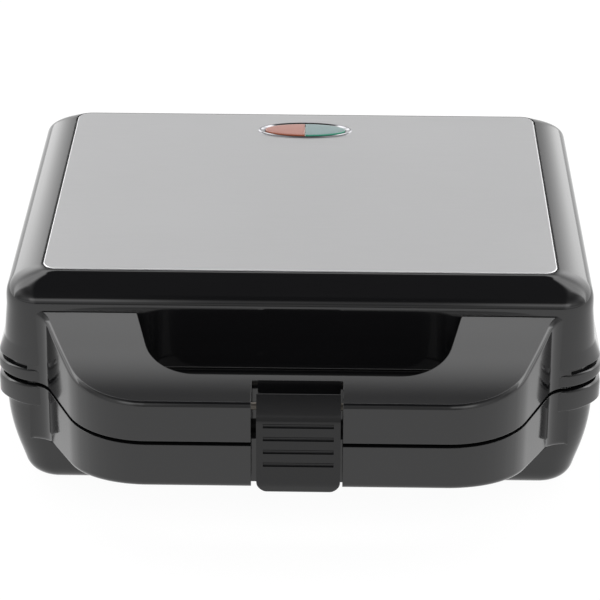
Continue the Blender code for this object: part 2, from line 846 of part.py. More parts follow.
def upper_housing():
    shell = lid_shell()
    handle = handle_loop("lid_handle_tool", UP, lid_profile, lid_handle_edge_round)
    clear_mouth(handle, "lid_mouth", UP)
    add(shell, handle)
    cut(shell, *handle_hollows("lid_hollow", UP, lid_profile))
    add_screw_columns(shell, "lid", UP, recess_rise)
    for i, sx in enumerate((-1, 1)):
        add(shell, hinge_lug(f"lid_knuckle_{i}", sx * hinge_x, barrel_width, UP))
    deck_hole = ellipse(bezel_half_width - bezel_ring, bezel_half_depth - bezel_ring, (0, lamp_y))
    low = rise_to_z(ceiling_rise - overrun, UP)
    pin_z = rise_to_z(latch_pin_rise, UP)
    socket = 2 * latch_socket
    pin_bore = latch_pin_radius + fit_gap
    hinge_bore = hinge_pin_radius + fit_gap
    cut(
        shell,
        prism("deck_window", deck_hole, low, rise_to_z(lid_rise + overrun, UP), helper=True),
        notch("lid_notch", UP, lid_notch_depth),
        cylinder("latch_pin_bore", (0, latch_pin_y, pin_z), pin_bore, socket, "X", helper=True),
        cylinder("lid_hinge_bore", (0, hinge_y, split_height), hinge_bore, body_width, "X", helper=True),
    )
    return shell


def lower_housing():
    shell = base_shell()
    handle = handle_loop("base_handle_tool", DOWN, base_profile, handle_edge_round)
    clear_mouth(handle, "base_mouth", DOWN)
    add(shell, handle)
    cut(shell, *handle_hollows("base_hollow", DOWN, base_profile))
    add_screw_columns(shell, "base", DOWN, base_drop)
    ear_offset = (barrel_width + ear_thickness) / 2 + hinge_side_gap
    for i, sx in enumerate((-1, 1)):
        for j, sy in enumerate((-1, 1)):
            add(shell, hinge_lug(f"base_ear_{i}_{j}", sx * hinge_x + sy * ear_offset, ear_thickness, DOWN))
    for i, (x, y) in enumerate(clamp_screw_places()):
        seat = clamp_seat_rise()
        add(shell, post(f"clamp_post_{i}", x, y, seat + fit_gap, base_floor_rise + wall / 2, post_radius, DOWN))
        bore = small_screw_shank + fit_gap
        cut(shell, post(f"clamp_screw_hole_{i}", x, y, seat - overrun, seat + small_screw_length, bore, DOWN))
    for i, (x, y) in enumerate(foot_places()):
        hole_radius = foot_stem_radius + fit_gap
        cut(shell, post(f"foot_hole_{i}", x, y, base_floor_rise - overrun, base_drop + overrun, hole_radius, DOWN))
    hinge_bore = hinge_pin_radius + fit_gap
    gland_bore_radius = gland_radius + fit_gap
    gland_hole = cylinder("gland_hole", gland_place(), gland_bore_radius, 2 * overrun + wall, "Y", helper=True)
    gland_hole.data.transform(Matrix.Translation(gland_place()) @ Matrix.Rotation(gland_lean(), 4, "X")
                              @ Matrix.Translation(-gland_place()))
    cut(
        shell,
        notch("base_notch", DOWN, base_notch_depth),
        cylinder("base_hinge_bore", (0, hinge_y, split_height), hinge_bore, body_width, "X", helper=True),
        gland_hole,
    )
    return shell


def wall_inset_at(rise):
    """How far the rear wall of the base stands in from the widest outline at a rise."""
    start = half_gap + base_lip_height + base_step_height
    end = base_drop - base_edge_round
    return base_step + base_end_taper * (rise - start) / (end - start)


def gland_lean():
    """Turn about X that sets the gland square to the leaning rear wall."""
    run = base_drop - base_edge_round - half_gap - base_lip_height - base_step_height
    return -atan2(base_end_taper, run)


def gland_place():
    return Vector((terminal_x, body_rear_y - wall_inset_at(gland_drop), split_height - gland_drop))


def clamp_seat_rise():
    """Rise of the seat of the cord clamp, just under the bore of the gland."""
    return gland_drop + gland_bore


def clamp_screw_places():
    y = body_rear_y - wall_inset_at(gland_drop) - clamp_from_wall
    return [(terminal_x + sx * clamp_x, y) for sx in (-1, 1)]


def foot_places():
    """Centres of the feet, near the corners of the flat underside."""
    flat_y = body_depth / 2 - base_step - base_end_taper - base_edge_round
    reach = flat_y - foot_inset
    return [(sx * foot_x, body_centre_y + sy * reach) for sy in (-1, 1) for sx in (-1, 1)]


def plate_frame(name, side):
    """A ring between the shell and the plate, with a ledge under the flange of the plate."""
    outer_x = body_width / 2 - wall - fit_gap
    outer_y = body_depth / 2 - wall - fit_gap
    outer_corner = body_corner - wall - fit_gap
    plate_x = plate_width / 2 + frame_side_gap
    plate_y = plate_depth / 2 + frame_side_gap
    seat_rise = plate_face_rise + flange_thickness + fit_gap
    end_rise = ledge_rise - fit_gap
    rows = [
        (frame_face_rise, outer_x - frame_round, outer_y - frame_round, outer_corner),
        (frame_face_rise + frame_round, outer_x, outer_y, outer_corner),
        (end_rise, outer_x, outer_y, outer_corner),
        (end_rise, plate_x - frame_ledge, plate_y - frame_ledge, plate_corner - frame_ledge),
        (seat_rise, plate_x - frame_ledge, plate_y - frame_ledge, plate_corner - frame_ledge),
        (seat_rise, plate_x, plate_y, plate_corner),
        (frame_face_rise + frame_round, plate_x, plate_y, plate_corner),
        (frame_face_rise, plate_x + frame_round, plate_y + frame_round, plate_corner),
    ]
    return loft(name, rectangle_rings(rows, side, plate_steps), satin_black(), closed=True)


def pocket_triangles():
    """The four triangles of the two bread squares, as corner lists that run counter-clockwise."""
    half_y = plate_depth / 2 - field_end_margin - rim_width + diagonal_ridge / 2
    inner = centre_ridge / 2 - diagonal_ridge / 2
    outer = plate_width / 2 - field_side_margin - rim_width + diagonal_ridge / 2
    front = body_centre_y - half_y
    rear = body_centre_y + half_y
    r = pocket_corner
    right = [
        [(inner, front, r), (outer, front, r), (inner, rear, r)],
        [(outer, front, r), (outer, rear, r), (inner, rear, r)],
    ]
    left = [[(-x, y, radius) for x, y, radius in reversed(triangle)] for triangle in right]
    return right + left


def pocket_solid(name, corners, levels, side):
    """A tapering triangle. Each level is (rise, distance in from the corner list)."""
    rings = []
    for rise, inset in levels:
        ring = inset_polygon(corners, inset) if inset > 0 else corners
        rings.append(at_rise(rounded_polygon(ring, pocket_steps), rise, side))
    return loft(name, rings, None, helper=True)


def cooking_plate(name, side):
    """A cast plate: flange, raised field, and four tapering pockets with walls of even thickness."""
    half_x = plate_width / 2
    half_y = plate_depth / 2
    field_x = half_x - field_side_margin
    field_y = half_y - field_end_margin
    round_step = frame_round
    rows = [
        (plate_face_rise + flange_thickness, half_x, half_y, plate_corner),
        (plate_face_rise + round_step, half_x, half_y, plate_corner),
        (plate_face_rise, half_x - round_step, half_y - round_step, plate_corner - round_step),
        (plate_face_rise, field_x, field_y, field_corner),
        (ridge_rise, field_x - round_step, field_y - round_step, field_corner - round_step),
    ]
    plate = loft(name, rectangle_rings(rows, side, plate_steps), nonstick())
    ridge_half = diagonal_ridge / 2
    for i, corners in enumerate(pocket_triangles()):
        body = [
            (plate_face_rise + flange_thickness / 2, ridge_half / 2),
            (plate_under_rise - pocket_floor, ridge_half / 2 + pocket_draft / 2),
            (plate_under_rise, ridge_half / 2 + pocket_draft),
        ]
        add(plate, pocket_solid(f"{name}_pocket_body_{i}", corners, body, side))
    pad = post(f"{name}_pad", 0, body_centre_y, pocket_floor_rise + fit_gap, plate_under_rise, pad_radius, side)
    add(plate, pad)
    for i, (x, y) in enumerate(screw_places()):
        low = plate_face_rise + flange_thickness / 2
        high = shield_rise - fit_gap
        add(plate, post(f"{name}_boss_{i}", x, y, low, high, boss_radius, side))
    if side == DOWN:
        for i, x in enumerate((-thermostat_screw_x, thermostat_screw_x)):
            low = pocket_floor_rise + fit_gap
            high = ear_rise - fit_gap
            add(plate, post(f"{name}_ear_boss_{i}", x, body_centre_y, low, high, ear_boss_radius, side))
    for i, corners in enumerate(pocket_triangles()):
        cavity = [
            (ridge_rise - overrun, ridge_half - round_step - pocket_draft * overrun / pocket_depth),
            (ridge_rise + round_step, ridge_half),
            (pocket_floor_rise - pocket_draft / 2, ridge_half + pocket_draft),
            (pocket_floor_rise, ridge_half + pocket_draft + pocket_draft / 2),
        ]
        cut(plate, pocket_solid(f"{name}_pocket_{i}", corners, cavity, side))
    for i, (x, y) in enumerate(screw_places()):
        low = screw_tip_rise - fit_gap
        bore = screw_shank_radius + fit_gap
        cut(plate, post(f"{name}_boss_hole_{i}", x, y, low, shield_rise + overrun, bore, side))
    if side == DOWN:
        for i, x in enumerate((-thermostat_screw_x, thermostat_screw_x)):
            low = small_tip_rise - fit_gap
            high = shield_rise + overrun
            bore = small_screw_shank + fit_gap
            cut(plate, post(f"{name}_ear_hole_{i}", x, body_centre_y, low, high, bore, side))
    return plate


def heater_path(side):
    """A loop with rounded ends, open at the rear, whose two tails turn away from the plate."""
    bend_steps = 5
    half_run = heater_long_run / 2
    gap = heater_bend
    corners = [
        (-gap, heater_half_depth, 0.0),
        (-half_run, heater_half_depth, heater_bend),
        (-half_run, -heater_half_depth, heater_bend),
        (half_run, -heater_half_depth, heater_bend),
        (half_run, heater_half_depth, heater_bend),
        (gap, heater_half_depth, 0.0),
    ]
    flat = [(x, y + body_centre_y) for x, y in rounded_polygon(corners, bend_steps)]
    turn = 2 * heater_radius
    steps = [radians(90 * i / bend_steps) for i in range(1, bend_steps + 1)]
    down = [(turn * sin(a), turn * (1 - cos(a))) for a in steps]
    tail_rise = heater_rise + heater_tail
    start = [(-gap + run, flat[0][1], heater_rise + fall) for run, fall in down]
    end = [(gap - run, flat[-1][1], heater_rise + fall) for run, fall in down]
    points = [(start[-1][0], start[-1][1], tail_rise)] + start[::-1]
    points += [(x, y, heater_rise) for x, y in flat]
    points += end + [(end[-1][0], end[-1][1], tail_rise)]
    return [Vector((x, y, rise_to_z(rise, side))) for x, y, rise in points]


def heater(name, side):
    curve = bpy.data.curves.new(name, "CURVE")
    curve.dimensions = "3D"
    curve.bevel_depth = heater_radius
    curve.bevel_resolution = 2
    curve.render_resolution_u = 0
    curve.use_fill_caps = True
    spline = curve.splines.new("POLY")
    path = heater_path(side)
    spline.points.add(len(path) - 1)
    for point, place in zip(spline.points, path):
        point.co = (*place, 1)
    obj = bpy.data.objects.new(name, curve)
    collection.objects.link(obj)
    curve.materials.append(material("heater_sheath", (0.17, 0.16, 0.15), 0.45, 1.0))
    return obj


def tail_places():
    """Where the two tails of a heater cross the shield."""
    reach = heater_bend - 2 * heater_radius
    return [(-reach, body_centre_y + heater_half_depth), (reach, body_centre_y + heater_half_depth)]


def heat_shield(name, side):
    """A shallow pressed tray over the heater, clamped between the bosses and the columns."""
    half_x = plate_width / 2 - shield_side_margin
    half_y = plate_depth / 2 - frame_ledge - fit_gap
    under = shield_rise + shield_sheet
    lip = shield_rise - shield_rim
    s = shield_sheet
    rows = [
        (shield_rise, half_x - 2 * s, half_y - 2 * s, shield_corner),
        (shield_rise - s, half_x - s, half_y - s, shield_corner),
        (lip, half_x - s, half_y - s, shield_corner),
        (lip, half_x, half_y, shield_corner + s),
        (shield_rise, half_x, half_y, shield_corner + s),
        (under, half_x - s, half_y - s, shield_corner),
    ]
    finish = material("aluminised_steel", (0.50, 0.50, 0.49), 0.38, 1.0)
    tray = loft(name, rectangle_rings(rows, side, plate_steps), finish)
    low = lip - overrun
    high = under + overrun
    for i, (x, y) in enumerate(screw_places()):
        radius = screw_shank_radius + screw_clearance
        cut(tray, post(f"{name}_screw_hole_{i}", x, y, low, high, radius, side))
    for i, (x, y) in enumerate(tail_places()):
        cut(tray, post(f"{name}_tail_hole_{i}", x, y, low, high, heater_radius + heater_tail_margin, side))
    if side == DOWN:
        half = thermostat_ear_length / 2 + shield_rim / 2
        window = rounded_polygon(rectangle(half, shield_window_radius, shield_window_radius / 2, body_centre_y))
        bottom = min(rise_to_z(low, side), rise_to_z(high, side))
        top = max(rise_to_z(low, side), rise_to_z(high, side))
        cut(tray, prism(f"{name}_window", window, bottom, top, helper=True))
    return tray


def screw(name, x, y, head_rise, head, shank, side, finish, tilt=None):
    """A pan-head screw: head is (radius, height), shank is (radius, length). It points to the plate."""
    head_radius, head_height = head
    shank_radius, length = shank
    profile = [
        (0.0, head_height),
        (head_radius * head_top_share, head_height),
        (head_radius, 0.0),
        (shank_radius, 0.0),
        (shank_radius, -length + shank_radius),
        (0.0, -length),
    ]
    return turned(name, profile, (x, y, rise_to_z(head_rise, side)), finish, side, tilt, screw_steps)


def plate_screws(name, side):
    for i, (x, y) in enumerate(screw_places()):
        head = (screw_head_radius, screw_head_height)
        shank = (screw_shank_radius, screw_seat_rise - fit_gap - screw_tip_rise)
        screw(f"{name}_{i + 1}", x, y, screw_seat_rise + fit_gap, head, shank, side, plated_steel())


def top_panel():
    """A brushed sheet with a rolled edge, let into the lid, and its window for the lamps."""
    half_x = body_width / 2 - side_shoulder - panel_gap
    half_y = body_depth / 2 - end_shoulder - panel_gap
    top = lid_rise + panel_proud
    under = recess_rise + fit_gap
    corner = recess_corner
    e = panel_edge
    t = panel_sheet
    rows = [
        (top - t, half_x - 2 * t, half_y - 2 * t, corner - t),
        (top - t - e, half_x - t, half_y - t, corner - t),
        (under, half_x - t, half_y - t, corner - t),
        (under, half_x, half_y, corner),
        (top - e, half_x, half_y, corner),
        (top - e / 3, half_x - e / 3, half_y - e / 3, corner - e / 3),
        (top, half_x - e, half_y - e, corner - e),
    ]
    panel = loft("top_panel", rectangle_rings(rows, UP, corner_steps), brushed_steel())
    reach = bezel_skirt + fit_gap
    opening = ellipse(bezel_half_width - bezel_ring + reach, bezel_half_depth - bezel_ring + reach, (0, lamp_y))
    low = rise_to_z(recess_rise - overrun, UP)
    cut(panel, prism("panel_window", opening, low, rise_to_z(top + overrun, UP), helper=True))
    return panel


def lamp_bezel():
    """A plated ring that sits on the panel, with a skirt through its window."""
    top = lid_rise + panel_proud + fit_gap
    inner_x = bezel_half_width - bezel_ring
    inner_y = bezel_half_depth - bezel_ring
    skirt = bezel_skirt
    outer_rise, inner_rise = (bezel_height * share for share in bezel_rise_shares)
    outer_inset, crest_inset = (bezel_ring * share for share in bezel_inset_shares)
    rows = [
        (top, bezel_half_width, bezel_half_depth),
        (top + outer_rise, bezel_half_width - outer_inset, bezel_half_depth - outer_inset),
        (top + bezel_height, bezel_half_width - crest_inset, bezel_half_depth - crest_inset),
        (top + inner_rise, inner_x, inner_y),
        (recess_rise + fit_gap, inner_x, inner_y),
        (recess_rise + fit_gap, inner_x + skirt, inner_y + skirt),
        (top, inner_x + skirt, inner_y + skirt),
    ]
    rings = [at_rise(ellipse(hx, hy, (0, lamp_y)), rise, UP) for rise, hx, hy in rows]
    return loft("lamp_bezel", rings, material("chrome_plate", (0.80, 0.80, 0.81), 0.06, 1.0), closed=True)


def lens(name, sx, colour):
    """Half of the oval window: a clear coloured dome with a straight inner edge, hollow underneath."""
    half_x = bezel_half_width - bezel_ring - lens_gap
    half_y = bezel_half_depth - bezel_ring - lens_gap
    start = lid_rise + panel_proud
    inner = lamp_divider / 2 + lens_gap
    hollow_share = 1 - 2 * lens_sheet / half_y
    shoulder_share, crown_share = lens_dome_shares
    rows = [
        (start - lens_sheet, hollow_share),
        (recess_rise, hollow_share),
        (recess_rise, 1),
        (start + bezel_height / 2, 1),
        (start + bezel_height / 2 + lens_dome / 2, shoulder_share),
        (start + bezel_height / 2 + lens_dome, crown_share),
    ]
    centre = Vector((sx * (inner + half_x) / 2, lamp_y))
    half_steps = fine_steps // 2
    turns = [radians(-90 + 180 * i / half_steps) for i in range(half_steps + 1)]
    outline = [Vector((sx * max(half_x * cos(a), inner), lamp_y + half_y * sin(a))) for a in turns]
    rings = [at_rise([tuple(centre + (p - centre) * share) for p in outline], rise, UP) for rise, share in rows]
    return loft(name, rings, material(name, colour, 0.12))


def lamp_holder():
    """A shallow cup under the window, split in two by a wall between the lamps."""
    out_x = bezel_half_width + lamp_flange
    out_y = bezel_half_depth + lamp_flange
    cup_x = bezel_half_width - bezel_ring + lamp_cup_wall
    cup_y = bezel_half_depth - bezel_ring + lamp_cup_wall
    top = ceiling_rise - fit_gap
    w = lamp_cup_wall
    rows = [
        (top - lamp_cup_depth + w, cup_x - w, cup_y - w),
        (top, cup_x - w, cup_y - w),
        (top, out_x, out_y),
        (top - w, out_x, out_y),
        (top - w, cup_x, cup_y),
        (top - lamp_cup_depth, cup_x, cup_y),
    ]
    rings = [at_rise(ellipse(hx, hy, (0, lamp_y)), rise, UP) for rise, hx, hy in rows]
    cup = loft("lamp_holder", rings, material("white_nylon", (0.72, 0.71, 0.68), 0.45))
    wall_low = rise_to_z(top - lamp_cup_depth + w / 2, UP)
    wall_high = rise_to_z(lid_rise, UP)
    size = (lamp_divider, 2 * (bezel_half_depth - bezel_ring - lens_gap - fit_gap), wall_high - wall_low)
    middle = (0, lamp_y, (wall_low + wall_high) / 2)
    add(cup, box("lamp_divider_wall", middle, size, helper=True))
    return cup


def neon_lamps():
    floor = ceiling_rise - fit_gap - lamp_cup_depth + lamp_cup_wall
    z = rise_to_z(floor + fit_gap + neon_radius, UP)
    for name, x, colour in (("red_lamp", -neon_x, (0.8, 0.35, 0.2)), ("green_lamp", neon_x, (0.3, 0.7, 0.45))):
        cylinder(name, (x, lamp_y, z), neon_radius, neon_length, "X", finish=material(name, colour, 0.1))


def latch_clip():
    """The clip: a plate that wraps over the handles, a barrel for its pin and a hooked foot."""
    front = handle_front_y - latch_proud
    t = latch_thickness
    hook_y = handle_front_y + latch_hook_reach
    lean = Vector((latch_top_lean, latch_top_rise - latch_bend_rise))
    inward = Vector((lean.y, -lean.x)).normalized() * t
    barrel = latch_barrel_radius
    rows = [
        (front + latch_top_lean, latch_top_rise, edge_round),
        (front, latch_bend_rise, latch_bend_radius),
        (front, -latch_drop, latch_roll),
        (hook_y, -latch_drop, edge_round),
        (hook_y, -latch_drop + latch_hook_thickness, edge_round),
        (front + t, -latch_drop + latch_hook_thickness, latch_roll - t),
        (front + t, latch_pin_rise - barrel - t, t / 2),
        (latch_pin_y, latch_pin_rise - barrel, edge_round),
        (latch_pin_y + barrel, latch_pin_rise - barrel, barrel * barrel_corner_share),
        (latch_pin_y + barrel, latch_pin_rise + barrel, barrel * barrel_corner_share),
        (latch_pin_y, latch_pin_rise + barrel, edge_round),
        (front + latch_top_lean + inward.x, latch_top_rise + inward.y, edge_round),
    ]
    outline = [(y, split_height + rise) for y, rise in rounded_polygon(rows, 4)]
    clip = prism("latch_clip", outline, -latch_width / 2, latch_width / 2, along="X", finish=satin_black())
    pin = (0, latch_pin_y, rise_to_z(latch_pin_rise, UP))
    bore = latch_pin_radius + fit_gap
    cut(clip, cylinder("clip_pin_bore", pin, bore, latch_width + overrun, "X", helper=True))
    for i in range(grip_grooves):
        rise = grip_middle_rise + (i - (grip_grooves - 1) / 2) * grip_groove_pitch
        size = (latch_width - 2 * grip_groove_margin, 2 * grip_groove_depth, grip_groove_height)
        cut(clip, box(f"grip_groove_{i}", (0, front, split_height + rise), size, helper=True))
    for i, sx in enumerate((-1, 1)):
        cut(clip, corner_cutter(f"clip_corner_{i}", sx, front))
    return clip


def corner_cutter(name, sx, front):
    """What lies outside the rounded lower corner of the clip, seen from the front."""
    r = latch_corner
    x = latch_width / 2
    z = split_height - latch_drop
    turns = [radians(90 * i / arc_steps) for i in range(arc_steps + 1)]
    arc = [(x - r + r * sin(a), z + r - r * cos(a)) for a in turns]
    outline = arc + [(x + overrun, z + r), (x + overrun, z - overrun), (x - r, z - overrun)]
    shape = bmesh.new()
    near = [shape.verts.new((sx * px, front - overrun, pz)) for px, pz in outline]
    far = [shape.verts.new((sx * px, front + base_notch_depth + 2 * overrun, pz)) for px, pz in outline]
    shape.faces.new(near)
    shape.faces.new(far)
    for i in range(len(outline)):
        j = (i + 1) % len(outline)
        shape.faces.new((near[i], near[j], far[j], far[i]))
    return object_of(mesh_of(shape, name), name, None, helper=True)


def pins():
    latch_length = 2 * latch_socket - 2 * fit_gap
    place = (0, latch_pin_y, rise_to_z(latch_pin_rise, UP))
    cylinder("latch_pin", place, latch_pin_radius, latch_length, "X", finish=plated_steel())
    length = barrel_width + 2 * ear_thickness + 2 * hinge_side_gap
    for name, sx in (("left_hinge_pin", -1), ("right_hinge_pin", 1)):
        place = (sx * hinge_x, hinge_y, split_height)
        cylinder(name, place, hinge_pin_radius, length, "X", finish=plated_steel())


def thermostat():
    """A snap-disc switch pressed on the plate through the shield, with two ears."""
    low = plate_under_rise + fit_gap
    body = post("thermostat", 0, body_centre_y, low, low + thermostat_height, thermostat_radius, DOWN,
                helper=False, finish=material("bakelite", (0.05, 0.035, 0.03), 0.4), steps=fine_steps)
    ear_z = rise_to_z(ear_rise + thermostat_ear_sheet / 2, DOWN)
    size = (thermostat_ear_length, thermostat_ear_width, thermostat_ear_sheet)
    add(body, box("thermostat_ears", (0, body_centre_y, ear_z), size, helper=True))
    for i, x in enumerate((-thermostat_screw_x, thermostat_screw_x)):
        hole = post(f"thermostat_hole_{i}", x, body_centre_y, ear_rise - overrun, ear_rise + overrun,
                    small_screw_shank + fit_gap, DOWN)
        cut(body, hole)
    head = (small_screw_head, small_screw_height)
    for name, x in (("thermostat_screw_1", -thermostat_screw_x), ("thermostat_screw_2", thermostat_screw_x)):
        head_rise = ear_rise + thermostat_ear_sheet + fit_gap
        shank = (small_screw_shank, head_rise - small_tip_rise)
        screw(name, x, body_centre_y, head_rise, head, shank, DOWN, plated_steel())


def thermal_fuse():
    """A sealed link held to the shield by a saddle clip."""
    y = body_centre_y - fuse_y
    seat = shield_rise + shield_sheet + fit_gap
    z = rise_to_z(seat + fuse_radius, DOWN)
    fuse = cylinder("thermal_fuse", (fuse_x, y, z), fuse_radius, fuse_length, "X",
                    finish=material("fuse_case", (0.55, 0.53, 0.50), 0.3, 1.0))
    inner = fuse_radius + fit_gap
    outer = inner + fuse_clip_sheet
    foot = outer + fuse_clip_width / 2
    top_z = rise_to_z(seat, DOWN)
    foot_z = top_z - fuse_clip_sheet
    arc = [radians(180 * i / arc_steps) for i in range(arc_steps + 1)]
    outside = [(y - outer * cos(a), z - outer * sin(a)) for a in arc]
    inside = [(y + inner * cos(a), z - inner * sin(a)) for a in arc]
    outline = [(y - foot, top_z), (y - foot, foot_z), (y - outer, foot_z)] + outside[1:-1]
    outline += [(y + outer, foot_z), (y + foot, foot_z), (y + foot, top_z), (y + inner, top_z)]
    outline += inside + [(y - inner, top_z)]
    prism("fuse_clip", outline, fuse_x - fuse_clip_width / 2, fuse_x + fuse_clip_width / 2, along="X",
          finish=plated_steel())
    return fuse


def terminal_block():
    size = Vector((terminal_width, terminal_depth, terminal_height))
    y = clamp_screw_places()[0][1] - service_inset - size.y / 2
    z = split_height - base_floor_rise + fit_gap + size.z / 2
    block = box("terminal_block", (terminal_x, y, z), size, material("cream_nylon", (0.62, 0.58, 0.50), 0.5))
    for i in range(3):
        x = terminal_x + (i - 1) * size.x / 3
        cut(block, cylinder(f"terminal_bore_{i}", (x, y, z), terminal_bore, size.y + overrun, "Y", helper=True))
    return block


def cord_gland():
    """The bush in the rear wall that the cord passes through."""
    w = wall / cos(gland_lean()) + fit_gap
    inside = -w - gland_flange_thickness
    profile = [
        (gland_bore, gland_tail + gland_flange_thickness),
        (gland_radius - edge_round, gland_tail + gland_flange_thickness),
        (gland_radius, gland_flange_thickness + fit_gap),
        (gland_flange, gland_flange_thickness),
        (gland_flange, fit_gap),
        (gland_radius, fit_gap),
        (gland_radius, -w - fit_gap),
        (gland_radius + edge_round, -w - fit_gap),
        (gland_radius, inside - gland_tail),
        (gland_bore, inside - gland_tail),
        (gland_bore, gland_tail + gland_flange_thickness),
    ]
    tilt = (-pi / 2 + gland_lean(), 0, 0)
    return turned("cord_gland", profile, gland_place(), satin_black(), UP, tilt)


def cord_clamp():
    """A saddle that would hold the cord on two posts, with its screws."""
    y = clamp_screw_places()[0][1]
    seat = clamp_seat_rise()
    size = (clamp_width, clamp_depth, clamp_height)
    clamp = box("cord_clamp", (terminal_x, y, rise_to_z(seat - clamp_height / 2, DOWN)), size, satin_black())
    top = (terminal_x, y, rise_to_z(seat, DOWN))
    cut(clamp, cylinder("clamp_groove", top, gland_bore / 2, clamp_depth + overrun, "Y", helper=True))
    head = (small_screw_head, small_screw_height)
    head_rise = seat - clamp_height - fit_gap
    for i, (x, cy) in enumerate(clamp_screw_places()):
        radius = small_screw_shank + fit_gap
        cut(clamp, post(f"clamp_hole_{i}", x, cy, seat - 2 * clamp_height, seat + overrun, radius, DOWN))
        shank = (small_screw_shank, small_screw_length)
        screw(f"clamp_screw_{i + 1}", x, cy, -head_rise, head, shank, UP, plated_steel())
    return clamp


def feet():
    """Rubber feet, each pushed through a hole in the base until its bead snaps in."""
    names = ("front_left_foot", "front_right_foot", "rear_left_foot", "rear_right_foot")
    height = foot_drop - fit_gap
    bead = foot_stem_radius + foot_bead
    inside = foot_drop + floor_thickness + fit_gap
    profile = [
        (0.0, inside + foot_bead_height),
        (foot_stem_radius, inside + foot_bead_height),
        (bead, inside),
        (foot_stem_radius, inside),
        (foot_stem_radius, height),
        (foot_radius, height),
        (foot_radius, foot_round),
        (foot_radius - foot_round, 0.0),
        (0.0, 0.0),
    ]
    for name, (x, y) in zip(names, foot_places()):
        turned(name, profile, (x, y, 0), material("foot_rubber", (0.03, 0.03, 0.03), 0.75))


start_scene()
upper_housing()
lower_housing()
for half, direction in (("upper", UP), ("lower", DOWN)):
    plate_frame(f"{half}_plate_frame", direction)
    cooking_plate(f"{half}_cooking_plate", direction)
    heater(f"{half}_heater", direction)
    heat_shield(f"{half}_heat_shield", direction)
    plate_screws(f"{half}_plate_screw", direction)
top_panel()
lamp_bezel()
lens("red_lens", -1, (0.75, 0.12, 0.07))
lens("green_lens", 1, (0.10, 0.45, 0.28))
lamp_holder()
neon_lamps()
latch_clip()
pins()
thermostat()
thermal_fuse()
terminal_block()
cord_gland()
cord_clamp()
feet()
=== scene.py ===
# %% [markdown]
# # A sandwich toaster, finished in Blender
#
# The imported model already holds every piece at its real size: shells, plates, hinge, latch and the parts
# inside. This lesson gives those pieces their looks. The large shells are modelled again with finer curves
# on the same sizes, and the small parts keep their solids and get a proper finish.
# %% Load the frame
import json
from math import cos, pi, radians, sin, tan

import bmesh
import bpy
from mathutils import Matrix, Vector


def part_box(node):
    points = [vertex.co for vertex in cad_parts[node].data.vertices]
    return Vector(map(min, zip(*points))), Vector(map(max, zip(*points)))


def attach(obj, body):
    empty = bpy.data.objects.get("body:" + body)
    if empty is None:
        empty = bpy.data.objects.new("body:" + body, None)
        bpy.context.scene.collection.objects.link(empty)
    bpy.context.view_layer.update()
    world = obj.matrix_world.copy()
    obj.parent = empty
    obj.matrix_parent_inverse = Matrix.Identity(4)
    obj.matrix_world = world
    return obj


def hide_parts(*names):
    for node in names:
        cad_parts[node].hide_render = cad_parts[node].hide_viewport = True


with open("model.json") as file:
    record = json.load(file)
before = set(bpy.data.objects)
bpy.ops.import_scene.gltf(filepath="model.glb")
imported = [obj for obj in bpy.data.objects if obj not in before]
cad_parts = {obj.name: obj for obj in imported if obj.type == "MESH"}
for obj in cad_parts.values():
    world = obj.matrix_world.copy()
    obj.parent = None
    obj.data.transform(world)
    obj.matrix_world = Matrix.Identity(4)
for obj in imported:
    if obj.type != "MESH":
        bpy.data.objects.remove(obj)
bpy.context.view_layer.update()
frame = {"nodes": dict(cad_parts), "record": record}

# %% [markdown]
# ## Where things are
#
# A length in millimetres is easier to think about than one in metres, so one small function turns them.
# The frame says where each solid lies, and the places used below come from those boxes.
# %% Places read from the frame
MM = 0.001
UP, DOWN = 1, -1


def mm(value):
    return value * MM


def middle_of(node):
    low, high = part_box(node)
    return (Vector(low) + Vector(high)) / 2


frame_low, frame_high = (Vector(corner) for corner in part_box("lower_plate_frame"))
upper_frame_low = Vector(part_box("upper_plate_frame")[0])
split_z = (frame_high.z + upper_frame_low.z) / 2
body_y = (frame_low.y + frame_high.y) / 2
latch_low = Vector(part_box("latch_clip")[0])
latch_proud = mm(1.5)
handle_front = latch_low.y + latch_proud
hinge_y = middle_of("left_hinge_pin").y
print("halves meet at %.1f mm, body middle at y %.1f mm" % (split_z / MM, body_y / MM))

# %% [markdown]
# ## Camera
#
# A long lens from a little over a metre keeps the edges of the lid nearly parallel. The camera looks down
# at 25.5 degrees and is turned under one degree to the left, as the handle's edges show.
# %% Camera
camera_data = bpy.data.cameras.new("camera")
camera_data.sensor_width = 36
camera_data.lens = 163.03
camera_data.clip_start = 0.05
camera = bpy.data.objects.new("camera", camera_data)
bpy.context.scene.collection.objects.link(camera)
bpy.context.scene.camera = camera
pitch, heading, roll = radians(25.5), radians(0.8126), radians(0.27)
camera.location = (mm(13.8), handle_front + mm(62.0 - 966.25), mm(539.53))
turn = Matrix.Rotation(heading, 4, "Z") @ Matrix.Rotation(pi / 2 - pitch, 4, "X")
camera.matrix_world = Matrix.Translation(camera.location) @ turn @ Matrix.Rotation(roll, 4, "Z")
print("camera at", tuple(round(c, 3) for c in camera.location))

# %% [markdown]
# ## Studio
#
# Gloss black plastic has almost no colour of its own: what the eye reads as its shape is the reflection of
# the room. So the room is painted with care on the world: by the angle over the top, from the front horizon
# (0 degrees) to the rear one (180), it has a low front screen, a dark ceiling, a tall soft screen behind and
# a pale backdrop, and bright walls at both sides. The camera itself only sees plain white.
# %% Colours and nodes
def linear(hex_colour):
    """sRGB hex such as "c0c0c0" as linear red, green, blue and alpha."""
    values = [int(hex_colour[i:i + 2], 16) / 255 for i in (0, 2, 4)]
    return tuple(v / 12.92 if v <= 0.04045 else ((v + 0.055) / 1.055) ** 2.4 for v in values) + (1.0,)


